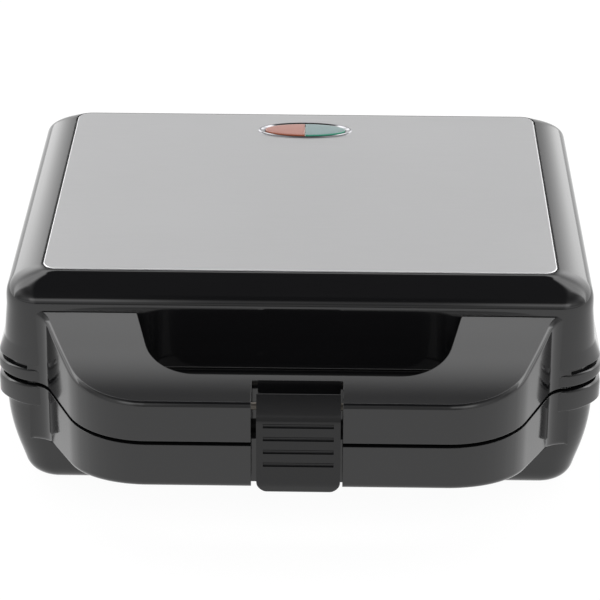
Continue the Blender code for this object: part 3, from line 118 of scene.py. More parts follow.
def node(tree, kind, links=(), **settings):
    """Add a shader node. Settings name its inputs or its own fields; links are (input name, output)."""
    made = tree.nodes.new(kind)
    for name, value in settings.items():
        label = name.replace("_", " ")
        if hasattr(made, name):
            setattr(made, name, value)
        else:
            made.inputs[label].default_value = value
    for name, output in links:
        tree.links.new(made.inputs[name], output)
    return made


def ramp(tree, value, stops):
    """Grey levels along a value: stops are (position, level), blended smoothly."""
    made = node(tree, "ShaderNodeValToRGB", [("Fac", value)])
    made.color_ramp.interpolation = "EASE"
    marks = made.color_ramp.elements
    marks[0].position, marks[-1].position = stops[0][0], stops[-1][0]
    for place, (position, level) in enumerate(stops):
        mark = marks.new(position) if 0 < place < len(stops) - 1 else marks[0 if place == 0 else -1]
        mark.color = (level, level, level, 1)
    return made.outputs["Color"]


def maths(tree, kind, *values):
    """A maths node; each value is an output or a number."""
    made = node(tree, "ShaderNodeMath", operation=kind)
    for slot, value in zip(made.inputs, values):
        if isinstance(value, (int, float)):
            slot.default_value = value
        else:
            tree.links.new(slot, value)
    return made.outputs[0]


# %% World
world = bpy.data.worlds.new("studio")
bpy.context.scene.world = world
world.use_nodes = True
tree = world.node_tree
tree.nodes.clear()
ray = node(tree, "ShaderNodeTexCoord").outputs["Generated"]
axes = node(tree, "ShaderNodeSeparateXYZ", [("Vector", ray)])
over = maths(tree, "ARCTAN2", axes.outputs["Z"], maths(tree, "MULTIPLY", axes.outputs["Y"], -1))
share = maths(tree, "DIVIDE", over, pi)
stops = ((0.0, 0.06), (0.10, 0.16), (0.19, 0.42), (0.27, 0.02), (0.50, 0.01), (0.56, 0.60), (0.63, 0.52),
         (0.73, 0.08), (0.86, 0.16), (1.0, 0.26))
sideways = maths(tree, "ABSOLUTE", axes.outputs["X"])
screen = ramp(tree, sideways, ((0.0, 0.3), (0.06, 0.3), (0.13, 1.0), (0.45, 1.0), (0.6, 0.2), (1.0, 0.1)))
near = ramp(tree, share, ((0.0, 0.0), (0.08, 0.0), (0.12, 1.0), (0.34, 1.0), (0.38, 0.0), (1.0, 0.0)))
veil = maths(tree, "SUBTRACT", 1.0, maths(tree, "MULTIPLY", near, maths(tree, "SUBTRACT", 1.0, screen)))
room = maths(tree, "MULTIPLY", maths(tree, "MULTIPLY", ramp(tree, share, stops), veil), 5.0)
walls = ramp(tree, sideways, ((0.0, 0.0), (0.22, 0.0), (0.38, 1.0), (1.0, 0.8)))
height = ramp(tree, axes.outputs["Z"], ((0.0, 0.55), (0.2, 0.75), (0.5, 1.0), (0.85, 0.2)))
behind = maths(tree, "MULTIPLY_ADD", axes.outputs["Y"], 0.5, 0.5)
height = maths(tree, "MULTIPLY", height, ramp(tree, behind, ((0.0, 0.25), (0.35, 0.3), (0.6, 1.0), (1.0, 1.0))))
lit = maths(tree, "ADD", room, maths(tree, "MULTIPLY", maths(tree, "MULTIPLY", walls, height), 3.0))
rays = node(tree, "ShaderNodeLightPath")
plain_white = maths(tree, "MULTIPLY", rays.outputs["Is Camera Ray"], 1.0)
around = maths(tree, "MULTIPLY", lit, maths(tree, "SUBTRACT", 1.0, rays.outputs["Is Camera Ray"]))
shade = node(tree, "ShaderNodeBackground")
tree.links.new(shade.inputs["Strength"], maths(tree, "ADD", plain_white, around))
node(tree, "ShaderNodeOutputWorld", [("Surface", shade.outputs[0])])

# %% Floor
bpy.ops.mesh.primitive_plane_add(size=8, location=(0, 0, 0))
floor = bpy.context.object
floor.name = "floor"
paper = bpy.data.materials.new("white_paper")
paper.use_nodes = True
tree = paper.node_tree
tree.nodes.clear()
matt = node(tree, "ShaderNodeBsdfDiffuse", Color=linear("f2f2f2"))
glow = node(tree, "ShaderNodeEmission", Strength=1.0)
both = node(tree, "ShaderNodeMixShader", [(1, matt.outputs[0]), (2, glow.outputs[0])], Fac=0.96)
node(tree, "ShaderNodeOutputMaterial", [("Surface", both.outputs[0])])
floor.data.materials.append(paper)


# %% Lamps
def soft_box(name, place, target, size, power):
    """A rectangular area light that faces a target. It lights but isn't mirrored: the world is."""
    data = bpy.data.lights.new(name, "AREA")
    data.shape = "RECTANGLE"
    data.size, data.size_y = size
    data.energy = power
    lamp = bpy.data.objects.new(name, data)
    bpy.context.scene.collection.objects.link(lamp)
    lamp.location = place
    lamp.rotation_euler = (Vector(target) - Vector(place)).to_track_quat("-Z", "Y").to_euler()
    lamp.visible_glossy = False
    return lamp


toaster_middle = (0, body_y, mm(60))
soft_box("rear_box", (0, 0.75, 1.55), toaster_middle, (2.2, 0.9), 30)
soft_box("front_box", (0.2, -1.5, 1.25), toaster_middle, (2.0, 0.8), 26)
bpy.context.scene.view_settings.view_transform = "Standard"

# %% [markdown]
# ## Finishes
#
# Each finish starts from what the real one is. ABS moulded in a polished tool is black right through, with
# a surface so smooth that only a very faint ripple shows, and light dust dulls it a little here and there.
# %% Gloss black ABS
ABS_IOR = 1.54


def new_finish(name):
    """A material with its node tree emptied down to the shader."""
    made = bpy.data.materials.new(name)
    made.use_nodes = True
    return made, made.node_tree, made.node_tree.nodes["Principled BSDF"]


def place_on(tree, scale=(1, 1, 1)):
    """Object coordinates in metres, stretched by a scale."""
    where = node(tree, "ShaderNodeTexCoord")
    return node(tree, "ShaderNodeMapping", [("Vector", where.outputs["Object"])], Scale=scale)


def noise(tree, size_mm, scale=(1, 1, 1), detail=3.0):
    """Noise whose grains are about size_mm across."""
    links = [("Vector", place_on(tree, scale).outputs[0])]
    return node(tree, "ShaderNodeTexNoise", links, Scale=1 / mm(size_mm), Detail=detail)


def spread(tree, value, low, high):
    """Turn a 0 to 1 value into a range."""
    made = node(tree, "ShaderNodeMapRange", [("Value", value)])
    made.inputs["To Min"].default_value = low
    made.inputs["To Max"].default_value = high
    return made.outputs["Result"]


def gloss_abs():
    made, tree, shader = new_finish("gloss_black_abs")
    shader.inputs["Base Color"].default_value = linear("0b0b0c")
    shader.inputs["IOR"].default_value = ABS_IOR
    shader.inputs["Specular IOR Level"].default_value = 0.56
    smudge = noise(tree, 34, detail=4.0)
    tree.links.new(shader.inputs["Roughness"], spread(tree, smudge.outputs["Fac"], 0.05, 0.12))
    ripple = noise(tree, 9, detail=1.0)
    soft_edge = node(tree, "ShaderNodeBevel", samples=6, Radius=mm(0.35))
    wave = node(tree, "ShaderNodeBump", [("Height", ripple.outputs["Fac"]), ("Normal", soft_edge.outputs[0])],
                Strength=0.10, Distance=mm(0.05))
    tree.links.new(shader.inputs["Normal"], wave.outputs[0])
    return made


def satin_abs(name="satin_black_abs", colour="0a0a0b", low=0.2, high=0.28, shine=0.36):
    """ABS from a lightly etched tool: a fine even grain that spreads the reflection."""
    made, tree, shader = new_finish(name)
    shader.inputs["Base Color"].default_value = linear(colour)
    shader.inputs["IOR"].default_value = ABS_IOR
    shader.inputs["Specular IOR Level"].default_value = shine
    grain = noise(tree, 0.5, detail=2.0)
    tree.links.new(shader.inputs["Roughness"], spread(tree, grain.outputs["Fac"], low, high))
    bump = node(tree, "ShaderNodeBump", [("Height", grain.outputs["Fac"])], Strength=0.25, Distance=mm(0.02))
    tree.links.new(shader.inputs["Normal"], bump.outputs[0])
    return made


black_gloss = gloss_abs()
black_satin = satin_abs()

# %% [markdown]
# Stainless sheet is brushed by a belt that runs along the lid, so the scratches are long and thin. They
# are finer than a pixel here, so they are drawn about a third of a millimetre wide and very faint.
# %% Metals
def brushed_steel():
    made, tree, shader = new_finish("brushed_stainless")
    shader.inputs["Metallic"].default_value = 1.0
    scratch = noise(tree, 0.35, scale=(0.02, 1, 1), detail=3.0)
    cloud = noise(tree, 60, detail=2.0)
    tone = node(tree, "ShaderNodeMix", [("Factor", scratch.outputs["Fac"])], data_type="RGBA")
    tone.inputs["A"].default_value = linear("cfcfd0")
    tone.inputs["B"].default_value = linear("d6d6d7")
    tree.links.new(shader.inputs["Base Color"], tone.outputs["Result"])
    tree.links.new(shader.inputs["Roughness"], spread(tree, cloud.outputs["Fac"], 0.30, 0.36))
    bump = node(tree, "ShaderNodeBump", [("Height", scratch.outputs["Fac"])], Strength=0.12, Distance=mm(0.02))
    tree.links.new(shader.inputs["Normal"], bump.outputs[0])
    return made


def plain_metal(name, colour, low, high, grain_mm=2.0):
    """Bare or plated metal with a slight variation of polish."""
    made, tree, shader = new_finish(name)
    shader.inputs["Metallic"].default_value = 1.0
    shader.inputs["Base Color"].default_value = linear(colour)
    grain = noise(tree, grain_mm)
    tree.links.new(shader.inputs["Roughness"], spread(tree, grain.outputs["Fac"], low, high))
    return made


steel = brushed_steel()
chrome = plain_metal("chrome_plate", "a6a6a9", 0.08, 0.14)
zinc = plain_metal("zinc_plate", "c6c5c0", 0.22, 0.34)
sheet_steel = plain_metal("aluminised_steel", "b9b8b4", 0.34, 0.46, 5)
sheath = plain_metal("annealed_sheath", "75706a", 0.38, 0.52, 3)


# %% Finish of the other pieces
def plain_plastic(name, colour, low, high):
    made, tree, shader = new_finish(name)
    shader.inputs["Base Color"].default_value = linear(colour)
    grain = noise(tree, 1.2)
    tree.links.new(shader.inputs["Roughness"], spread(tree, grain.outputs["Fac"], low, high))
    return made


def painted_light_lens(name, face, rim):
    """Polycarbonate tinted in the melt, its colour painted paler on faces that look up and deeper along the
    steep rim: a painted highlight and painted shade.
    """
    made, tree, shader = new_finish(name)
    facing = node(tree, "ShaderNodeNewGeometry").outputs["Normal"]
    upright = node(tree, "ShaderNodeSeparateXYZ", [("Vector", facing)])
    # Painted light: faces that look up get the paler colour, as a painted highlight, and the steep rim gets the
    # deeper one, as painted shade.
    flat = node(tree, "ShaderNodeMapRange", [("Value", upright.outputs["Z"])])
    flat.inputs["From Min"].default_value = 0.6
    flat.inputs["From Max"].default_value = 0.97
    tone = node(tree, "ShaderNodeMix", [("Factor", flat.outputs["Result"])], data_type="RGBA")
    tone.inputs["A"].default_value = linear(rim)
    tone.inputs["B"].default_value = linear(face)
    tree.links.new(shader.inputs["Base Color"], tone.outputs["Result"])
    shader.inputs["IOR"].default_value = 1.58
    grain = noise(tree, 0.8)
    tree.links.new(shader.inputs["Roughness"], spread(tree, grain.outputs["Fac"], 0.16, 0.24))
    return made


def nonstick():
    """Cast aluminium under a sprayed dark coating with fine pale flecks."""
    made, tree, shader = new_finish("nonstick_coating")
    fleck = noise(tree, 0.7, detail=1.0)
    few = node(tree, "ShaderNodeMapRange", [("Value", fleck.outputs["Fac"])])
    few.inputs["From Min"].default_value = 0.66
    few.inputs["From Max"].default_value = 0.72
    tone = node(tree, "ShaderNodeMix", [("Factor", few.outputs["Result"])], data_type="RGBA")
    tone.inputs["A"].default_value = linear("303031")
    tone.inputs["B"].default_value = linear("5c5b5a")
    tree.links.new(shader.inputs["Base Color"], tone.outputs["Result"])
    shader.inputs["Roughness"].default_value = 0.42
    orange_peel = [("Height", noise(tree, 1.6).outputs["Fac"])]
    bump = node(tree, "ShaderNodeBump", orange_peel, Strength=0.2, Distance=mm(0.03))
    tree.links.new(shader.inputs["Normal"], bump.outputs[0])
    return made


coating = nonstick()
red_plastic = painted_light_lens("red_polycarbonate", "7c5850", "7a3a1c")
green_plastic = painted_light_lens("green_polycarbonate", "5d6c6c", "1c7a60")
rubber = satin_abs("foot_rubber", "262626", 0.6, 0.75)
phenolic = plain_plastic("phenolic", "3a2f2b", 0.35, 0.5)
white_nylon = plain_plastic("white_nylon", "dddbd5", 0.4, 0.55)
cream_nylon = plain_plastic("cream_nylon", "cdc7ba", 0.45, 0.6)
red_glass = plain_plastic("red_neon", "e69a80", 0.1, 0.15)
green_glass = plain_plastic("green_neon", "97d4b4", 0.1, 0.15)

solids = {
    "gloss_black_plastic": black_gloss, "satin_black_plastic": black_satin, "brushed_steel": steel,
    "nonstick_aluminium": coating, "plated_steel": zinc, "aluminised_steel": sheet_steel,
    "heater_sheath": sheath, "chrome_plate": chrome, "red_lens": red_plastic, "green_lens": green_plastic,
    "white_nylon": white_nylon, "red_lamp": red_glass, "green_lamp": green_glass, "bakelite": phenolic,
    "fuse_case": zinc, "cream_nylon": cream_nylon, "foot_rubber": rubber,
}
for part in frame["record"]["subparts"]:
    shown = frame["nodes"][part["node"]]
    shown.data.materials.clear()
    shown.data.materials.append(solids[part["material_slot"]])
print("finishes on", len(frame["nodes"]), "solids")

# %% [markdown]
# ## Shells
#
# Both halves are one loft each: a row is a rounded rectangle at some height, with its distance in from the
# widest outline, and the rows run from the ceiling inside, round the mouth, up the outside. Heights are
# counted away from the plane where the halves meet, so the lid and the base share the same tools.
# %% Plan tools
WIDTH, DEPTH, CORNER = mm(236), mm(189.2), mm(17)
HALF_GAP, WALL, EDGE = mm(0.8), mm(2.8), mm(0.6)
FRONT, REAR = body_y - DEPTH / 2, body_y + DEPTH / 2
REACH = FRONT - handle_front
LIP_FLARE = mm(2)


def rounded(corners, steps):
    """Points round a polygon. Each corner is (x, y, radius); the turn may be either way."""
    points = []
    for i, (x, y, radius) in enumerate(corners):
        here = Vector((x, y))
        before = (Vector(corners[i - 1][:2]) - here).normalized()
        after = (Vector(corners[(i + 1) % len(corners)][:2]) - here).normalized()
        if radius <= 0:
            points.append((x, y))
            continue
        half = before.angle(after) / 2
        centre = here + (before + after).normalized() * (radius / sin(half))
        start = here + before * (radius / tan(half)) - centre
        sweep = start.angle_signed(here + after * (radius / tan(half)) - centre)
        points += [tuple(centre + Matrix.Rotation(-sweep * k / steps, 2) @ start) for k in range(steps + 1)]
    return points


def rectangle(half_x, half_y, radius, centre_y=body_y):
    """Corners of a rounded rectangle, counter-clockwise from the right rear."""
    corners = ((1, 1), (-1, 1), (-1, -1), (1, -1))
    return [(sx * half_x, centre_y + sy * half_y, radius) for sx, sy in corners]


def at_rise(points, rise, side):
    return [(x, y, split_z + side * rise) for x, y in points]


def lip_weight(y):
    """0 at the ends, growing round the corners to 1 along each side."""
    share = min(max((min(y - FRONT, REAR - y) - mm(2)) / mm(13), 0.0), 1.0)
    return share * share * (3 - 2 * share)


def shell_ring(row, side, steps=14, stations=36):
    """A rounded rectangle that follows the body, with points along its sides for the flared lip."""
    rise, side_inset, end_inset, radius, flare = row
    half_x, half_y = WIDTH / 2 - side_inset, DEPTH / 2 - end_inset
    turns = rounded(rectangle(half_x, half_y, radius), steps)
    quarter = steps + 1
    sides = []
    for sx in (-1, 1):
        ys = [body_y - sx * (half_y - radius) * (1 - 2 * k / stations) for k in range(1, stations)]
        sides.append([(sx * half_x, y) for y in ys])
    ring = turns[:2 * quarter] + sides[0] + turns[2 * quarter:] + sides[1]
    ring = [(x + (flare if x > 0 else -flare) * lip_weight(y), y) for x, y in ring]
    return at_rise(ring, rise, side)


def bend(start, corner, end, steps):
    """Rows along a smooth bend from start to end, drawn towards corner. Both ends are included."""
    rows = []
    for k in range(steps + 1):
        t = k / steps
        rows.append(tuple((1 - t) ** 2 * a + 2 * t * (1 - t) * b + t * t * c
                          for a, b, c in zip(start, corner, end)))
    return rows


def soften(rows, reach, steps=3):
    """Round every inner row of a profile over a short reach to each side."""
    soft = [rows[0]]
    for before, here, after in zip(rows, rows[1:], rows[2:]):
        ends = []
        for other in (before, after):
            gap = max(abs(other[0] - here[0]), abs(other[1] - here[1]), abs(other[2] - here[2]), mm(0.01))
            share = min(reach / gap, 0.45)
            ends.append(tuple(a + (b - a) * share for a, b in zip(here, other)))
        soft += bend(ends[0], here, ends[1], steps)
    return soft + [rows[-1]]


# %% Mesh tools
# Faces that meet at more than this angle keep a crease between them; the rest is shaded smooth.
CREASE = radians(12.5)


def mesh_object(name, points, faces, finish=None):
    mesh = bpy.data.meshes.new(name)
    mesh.from_pydata(points, [], faces)
    shape = bmesh.new()
    shape.from_mesh(mesh)
    bmesh.ops.remove_doubles(shape, verts=shape.verts, dist=mm(0.001))
    bmesh.ops.recalc_face_normals(shape, faces=shape.faces)
    bmesh.ops.triangulate(shape, faces=[f for f in shape.faces if len(f.verts) > 4])
    shape.to_mesh(mesh)
    shape.free()
    mesh.shade_smooth()
    mesh.set_sharp_from_angle(angle=CREASE)
    made = bpy.data.objects.new(name, mesh)
    bpy.context.scene.collection.objects.link(made)
    if finish:
        mesh.materials.append(finish)
    return made


def loft(name, rings, finish=None, closed=False):
    """Join rings of equal count. A closed loft is a ring-shaped section; others get caps."""
    count = len(rings[0])
    points = [point for ring in rings for point in ring]
    pairs = [(k, k + 1) for k in range(len(rings) - 1)] + ([(len(rings) - 1, 0)] if closed else [])
    faces = []
    for low, high in pairs:
        for i in range(count):
            j = (i + 1) % count
            faces.append((low * count + i, low * count + j, high * count + j, high * count + i))
    if not closed:
        faces.append(tuple(range(count)))
        faces.append(tuple(range((len(rings) - 1) * count, len(rings) * count)))
    return mesh_object(name, points, faces, finish)


def prism(name, outline, low, high, along="Z", finish=None):
    """An outline pushed from low to high along Z, X or Y."""
    places = {"Z": lambda a, b, c: (a, b, c), "X": lambda a, b, c: (c, a, b), "Y": lambda a, b, c: (a, c, b)}
    place = places[along]
    return loft(name, [[place(a, b, c) for a, b in outline] for c in (low, high)], finish)


def disc(radius, centre=(0, 0), steps=48, stretch=1.0):
    turns = (2 * pi * k / steps for k in range(steps))
    return [(centre[0] + radius * cos(a), centre[1] + radius * stretch * sin(a)) for a in turns]


def change(target, tools, kind):
    """Cut or join tools by exact booleans, apply them and drop the tools."""
    for tool in tools:
        step = target.modifiers.new(kind, "BOOLEAN")
        step.operation = kind
        step.object = tool
        step.solver = "EXACT"
    bpy.context.view_layer.update()
    solid = bpy.data.meshes.new_from_object(target.evaluated_get(bpy.context.evaluated_depsgraph_get()))
    target.modifiers.clear()
    target.data = solid
    solid.shade_smooth()
    solid.set_sharp_from_angle(angle=CREASE)
    for tool in tools:
        bpy.data.objects.remove(tool)
    return target


# %% Lid and base lofts
LEDGE_WIDTH, LEDGE_RISE = mm(2.4), mm(7.7)


def mouth_rows(ledge):
    """Inside of the mouth, from the ledge down to the rounded rim."""
    inner = CORNER - WALL
    return [
        (LEDGE_RISE, ledge, ledge, inner - LEDGE_WIDTH, 0), (LEDGE_RISE, WALL, WALL, inner, 0),
        (HALF_GAP + EDGE, WALL, WALL, inner, 0), (HALF_GAP, WALL + EDGE, WALL + EDGE, inner - EDGE, 0),
    ]


def lip_rows(height):
    """The lip beside the parting gap, flared a little at the sides."""
    top = HALF_GAP + height
    return [
        (HALF_GAP, EDGE, EDGE, CORNER - EDGE, LIP_FLARE / 2), (HALF_GAP + EDGE, 0, 0, CORNER, 0.8 * LIP_FLARE),
        (HALF_GAP + height / 4, 0, 0, CORNER, LIP_FLARE), (top - EDGE, 0, 0, CORNER, LIP_FLARE),
        (top, EDGE, EDGE, CORNER - EDGE, 0.8 * LIP_FLARE),
    ]


LID_RISE, RIM_RISE, RECESS_RISE = mm(45), mm(37.2), mm(43.4)
SIDE_SHOULDER, END_SHOULDER, DECK_CORNER = mm(16.3), mm(11.2), mm(6.9)
ledge = WALL + LEDGE_WIDTH
band, lean = HALF_GAP + mm(5.4), CORNER - mm(3.2)
WALL_TOP = mm(30)


def crowned(row):
    """A row of the upper wall or shoulder with its side inset on one curve, ever flatter up to the deck."""
    climb = (row[0] - WALL_TOP) / (LID_RISE - WALL_TOP)
    return (row[0], mm(2.5) + (SIDE_SHOULDER - mm(2.5)) * climb ** 4.35, *row[2:])


outside = [
    *lip_rows(mm(5.4)),
    (band + mm(0.4), mm(2.1), mm(2.1), CORNER - mm(2.1), 0),
    (band + mm(1.9), mm(2.1), mm(2.1), CORNER - mm(2.1), 0),
    (band + mm(2.3), 0, 0, CORNER, 0.8 * LIP_FLARE),
    (mm(15.5), mm(0.9), 0, CORNER, 0),
]
rim, deck = (RIM_RISE, 0, mm(0.3), lean, 0), (LID_RISE, 0, END_SHOULDER, DECK_CORNER, 0)
slope = [tuple(a + (b - a) * k / 26 for a, b in zip(rim, deck)) for k in range(27)]
upper_rows = [(WALL_TOP + (RIM_RISE - mm(3) - WALL_TOP) * k / 6, 0, mm(0.3), lean, 0) for k in range(7)]
upper_rows += bend(upper_rows[-1], rim, slope[10], 10)[1:] + slope[11:24]
upper_rows += bend(slope[23], (LID_RISE - mm(0.15), 0, END_SHOULDER - mm(0.6), DECK_CORNER, 0), deck, 5)[1:]
rows = [
    (mm(40.9), SIDE_SHOULDER, END_SHOULDER + WALL, DECK_CORNER, 0),
    (RIM_RISE - mm(3), mm(3.2) + WALL, ledge, lean - WALL, 0),
    *mouth_rows(ledge),
    *soften(outside + [crowned(upper_rows[0])], mm(0.35)),
    *[crowned(row) for row in upper_rows[1:]],
    (RECESS_RISE, SIDE_SHOULDER, END_SHOULDER, DECK_CORNER, 0),
]
lid_shell = loft("lid_shell", [shell_ring(row, UP) for row in rows], black_gloss)

step_corner = CORNER - mm(2.2)
low_rise = split_z - mm(1)
foot_corner = step_corner - mm(3)
edge_in, foot_side, foot_end = mm(8), mm(7.7), mm(5.2)
edge_rows = bend((low_rise - edge_in, mm(6.9), foot_end, foot_corner, 0),
                 (low_rise - mm(0.4), mm(8.8), foot_end, foot_corner, 0),
                 (low_rise, foot_side + edge_in, foot_end + edge_in, foot_corner - edge_in / 2, 0), 12)
base_floor = low_rise - mm(2.5)
step_row = (mm(10.2), mm(1.1), mm(2.2), step_corner, 0)
# The side wall bulges: it leaves the step nearly upright and leans in ever more towards the foot.
wall_rows = [
    (mm(10.2 + 3.1 * k), mm(1.1) + mm(5.8) * (k / 9) ** 1.9, mm(2.2 + 0.33 * k), step_corner - mm(0.33 * k), 0)
    for k in range(1, 9)
]
rows = [
    (base_floor, foot_side + edge_in, foot_end + edge_in, foot_corner - edge_in / 2, 0),
    (base_floor - edge_in, foot_side + WALL, foot_end + WALL, foot_corner - WALL, 0),
    *mouth_rows(ledge),
    *soften([*lip_rows(mm(9)), step_row, *wall_rows, edge_rows[0]], mm(0.4)),
    *edge_rows[1:],
]
base_shell = loft("base_shell", [shell_ring(row, DOWN) for row in rows], black_gloss)
print("shell lofts:", len(lid_shell.data.polygons), len(base_shell.data.polygons), "faces")


# %% [markdown]
# The handle loops start as a flat plan: a sweep from one rear corner of the arm round the front to the
# other, then back round the finger opening. The plan is raised, sliced, its outer face bent down towards
# the front and its edges rounded.
# %% Handle loops
BAR_Y = handle_front + mm(17.5)
CORNER_X, ROOT_X = mm(54.6), mm(64.2)
# The roll stops short of the flat top, which leaves a fine crease round each handle.
ROLL_END = radians(56)


def offset(points, walls):
    """Points of a clockwise outline moved inwards, each by its own distance."""
    moved = []
    for i, (x, y) in enumerate(points):
        here = Vector((x, y))
        before = -(here - Vector(points[i - 1])).normalized().orthogonal()
        after = -(Vector(points[(i + 1) % len(points)]) - here).normalized().orthogonal()
        place = here + (before + after) * (walls[i] / (1 + before.dot(after)))
        moved.append((place.x, place.y))
    return moved


def bent_block(name, side, points, rounds, low, profile, thinner=0.0, turns=8):
    """A plan raised to an outer face, its edge rolled over by a radius per point, then bent down."""
    root_rise, front_rise, crown = profile
    top = root_rise - thinner
    rings = [[(x, y, low) for x, y in points]]
    for k in range(turns + 1):
        a = ROLL_END * k / turns
        ring = offset(points, [r * (1 - cos(a)) for r in rounds])
        rings.append([(x, y, top - r * (sin(ROLL_END) - sin(a))) for (x, y), r in zip(ring, rounds)])
    made = loft(name, rings)
    shape = bmesh.new()
    shape.from_mesh(made.data)
    strips = 26
    for k in range(1, strips):
        everything = shape.verts[:] + shape.edges[:] + shape.faces[:]
        bmesh.ops.bisect_plane(shape, geom=everything, dist=mm(0.02), plane_no=(0, 1, 0),
                               plane_co=(0, handle_front + REACH * k / strips, 0))
    for vert in shape.verts:
        if vert.co.z > top - max(rounds) - mm(0.5):
            t = (FRONT - vert.co.y) / REACH
            vert.co.z += (front_rise - root_rise) * t + 4 * crown * t * (1 - t)
        vert.co.z = split_z + side * (vert.co.z + HALF_GAP)
    bmesh.ops.triangulate(shape, faces=shape.faces)
    bmesh.ops.recalc_face_normals(shape, faces=shape.faces)
    shape.to_mesh(made.data)
    shape.free()
    return made


def plan_of(corners, steps=22):
    """Points of an outline whose corners are (x, y, radius, roll), with the roll of each point."""
    points = rounded([corner[:3] for corner in corners], steps)
    rolls = [corner[3] for corner in corners for _ in range(steps + 1 if corner[2] else 1)]
    return points, rolls


def handle_loop(name, side, profile, roll):
    """A whole handle loop: a wide roll round the outside and a fine one round the finger opening."""
    fine, root_y = mm(0.8), FRONT + mm(4.5)
    right = [(ROOT_X, root_y, 0, fine), (mm(107), root_y, 0, fine), (mm(107), FRONT + mm(1.6), 0, fine),
             (mm(100), FRONT + mm(0.3), mm(11), roll), (mm(79.2), handle_front, mm(34), roll)]
    left = [(-x, *rest) for x, *rest in reversed(right)]
    opening = [(-CORNER_X, BAR_Y, mm(21), fine), (CORNER_X, BAR_Y, mm(21), fine)]
    made = bent_block(name, side, *plan_of(right + left + opening), 0, profile)
    mouth = [shell_ring((rise, mm(2.3), mm(2.3), CORNER - mm(2.3), 0), side) for rise in (-mm(5.6), mm(8.9))]
    return change(made, [loft("mouth", mouth)], "DIFFERENCE")


def handle_hollows(name, side, profile):
    """Two hollows in the mating face, from beside the latch round into each arm, crossed by thin ribs."""
    wall, start_x, root_y = mm(2.6), mm(27.4), FRONT + mm(2.1)
    half = [(start_x - wall, handle_front, 0), (start_x - wall, BAR_Y, 0), (CORNER_X, BAR_Y, mm(21)),
            (ROOT_X, root_y, 0), (mm(100), root_y, 0), (mm(79.2), handle_front, mm(34))]
    outline = rounded(half, 22)
    plan = offset(outline, [wall] * len(outline))
    ends = sorted((split_z + side * mm(1.8), split_z + side * profile[0]))
    hollows = []
    for sx in (-1, 1):
        mirrored = [(sx * x, y) for x, y in plan][::sx]
        hollow = bent_block(name, side, mirrored, [mm(0.4)] * len(mirrored), -mm(5.6), profile, wall, 2)
        ribs = [(sx * (start_x + k * mm(13)), handle_front + REACH / 2, mm(0.8), REACH / 2) for k in (1, 2)]
        ribs.append((sx * WIDTH / 2, FRONT - mm(16), WIDTH / 2 - CORNER_X, mm(0.8)))
        boxes = [prism("rib", [(x - w, y - d), (x + w, y - d), (x + w, y + d), (x - w, y + d)], *ends)
                 for x, y, w, d in ribs]
        hollows.append(change(hollow, boxes, "DIFFERENCE"))
    return hollows


def latch_notch(side, depth):
    """A tool for the notch in the front of a handle where the clip lies."""
    half_x = mm(17.4)
    ends = sorted((split_z - side * mm(5.6), split_z + side * mm(31.3)))
    outline = [(-half_x, handle_front - mm(5)), (half_x, handle_front - mm(5)), (half_x, handle_front + depth),
               (-half_x, handle_front + depth)]
    return prism("notch", outline, *ends)


def lug(x, width, side):
    """A knuckle round the hinge axis with a foot that runs into the rear wall of one half."""
    r = mm(5.5)
    angles = (radians(-90 + 6 * k) for k in range(31))
    turn = [(hinge_y + r * cos(a), split_z + side * r * sin(a)) for a in angles]
    foot = [(REAR - mm(2.24), split_z + side * mm(7.4)), (REAR - mm(2.24), split_z + side * mm(2.4)),
            (hinge_y - r, split_z + side * mm(1.6))]
    start = [(hinge_y - r * sin(pi / 4), split_z - side * r * cos(pi / 4))]
    return prism("lug", start + turn + foot, x - width / 2, x + width / 2, along="X")


def columns(half, side, end):
    """The four columns inside a shell that the plate screws pass through."""
    places = [middle_of(f"{half}_plate_screw_{k}") for k in range(1, 5)]
    ends = sorted((split_z + side * mm(25.9), split_z + side * end))
    return [prism("column", disc(mm(5.5), place[:2], 36), *ends) for place in places]


knuckles = [lug(sx * mm(72), mm(12), UP) for sx in (-1, 1)]
lid_profile, base_profile = (mm(31.3), mm(16.3), -mm(2.0)), (mm(24.0), mm(17.7), mm(0.2))
lid_handle = handle_loop("lid_handle", UP, lid_profile, mm(2.8))
upper = change(lid_shell, [lid_handle, *knuckles, *columns("upper", UP, mm(42))], "UNION")
ears = [lug(sx * mm(72) + sy * mm(8.4), mm(4), DOWN) for sx in (-1, 1) for sy in (-1, 1)]
base_handle = handle_loop("base_handle", DOWN, base_profile, mm(2.4))
lower = change(base_shell, [base_handle, *ears, *columns("lower", DOWN, mm(44))], "UNION")
print("shells with handles:", len(upper.data.polygons), len(lower.data.polygons), "faces")

# %% Holes in the shells
lamp_y = middle_of("lamp_bezel").y
LATCH_BORE, HINGE_BORE = mm(1.8), mm(1.9)


def bore(place, radius, length, along, steps=24):
    x, y, z = place
    centre = {"X": (y, z), "Y": (x, z), "Z": (x, y)}[along]
    middle = {"X": x, "Y": y, "Z": z}[along]
    return prism("bore", disc(radius, centre, steps), middle - length / 2, middle + length / 2, along)


def screw_bores(half, side, far):
    """A counterbore and a clearance hole for each plate screw."""
    tools = []
    for k in range(1, 5):
        place = middle_of(f"{half}_plate_screw_{k}")[:2]
        for radius, start in ((mm(4.1), mm(36)), (mm(2.1), mm(20))):
            ends = sorted((split_z + side * start, split_z + side * far))
            tools.append(prism("screw_bore", disc(radius, place, 32), *ends))
    return tools


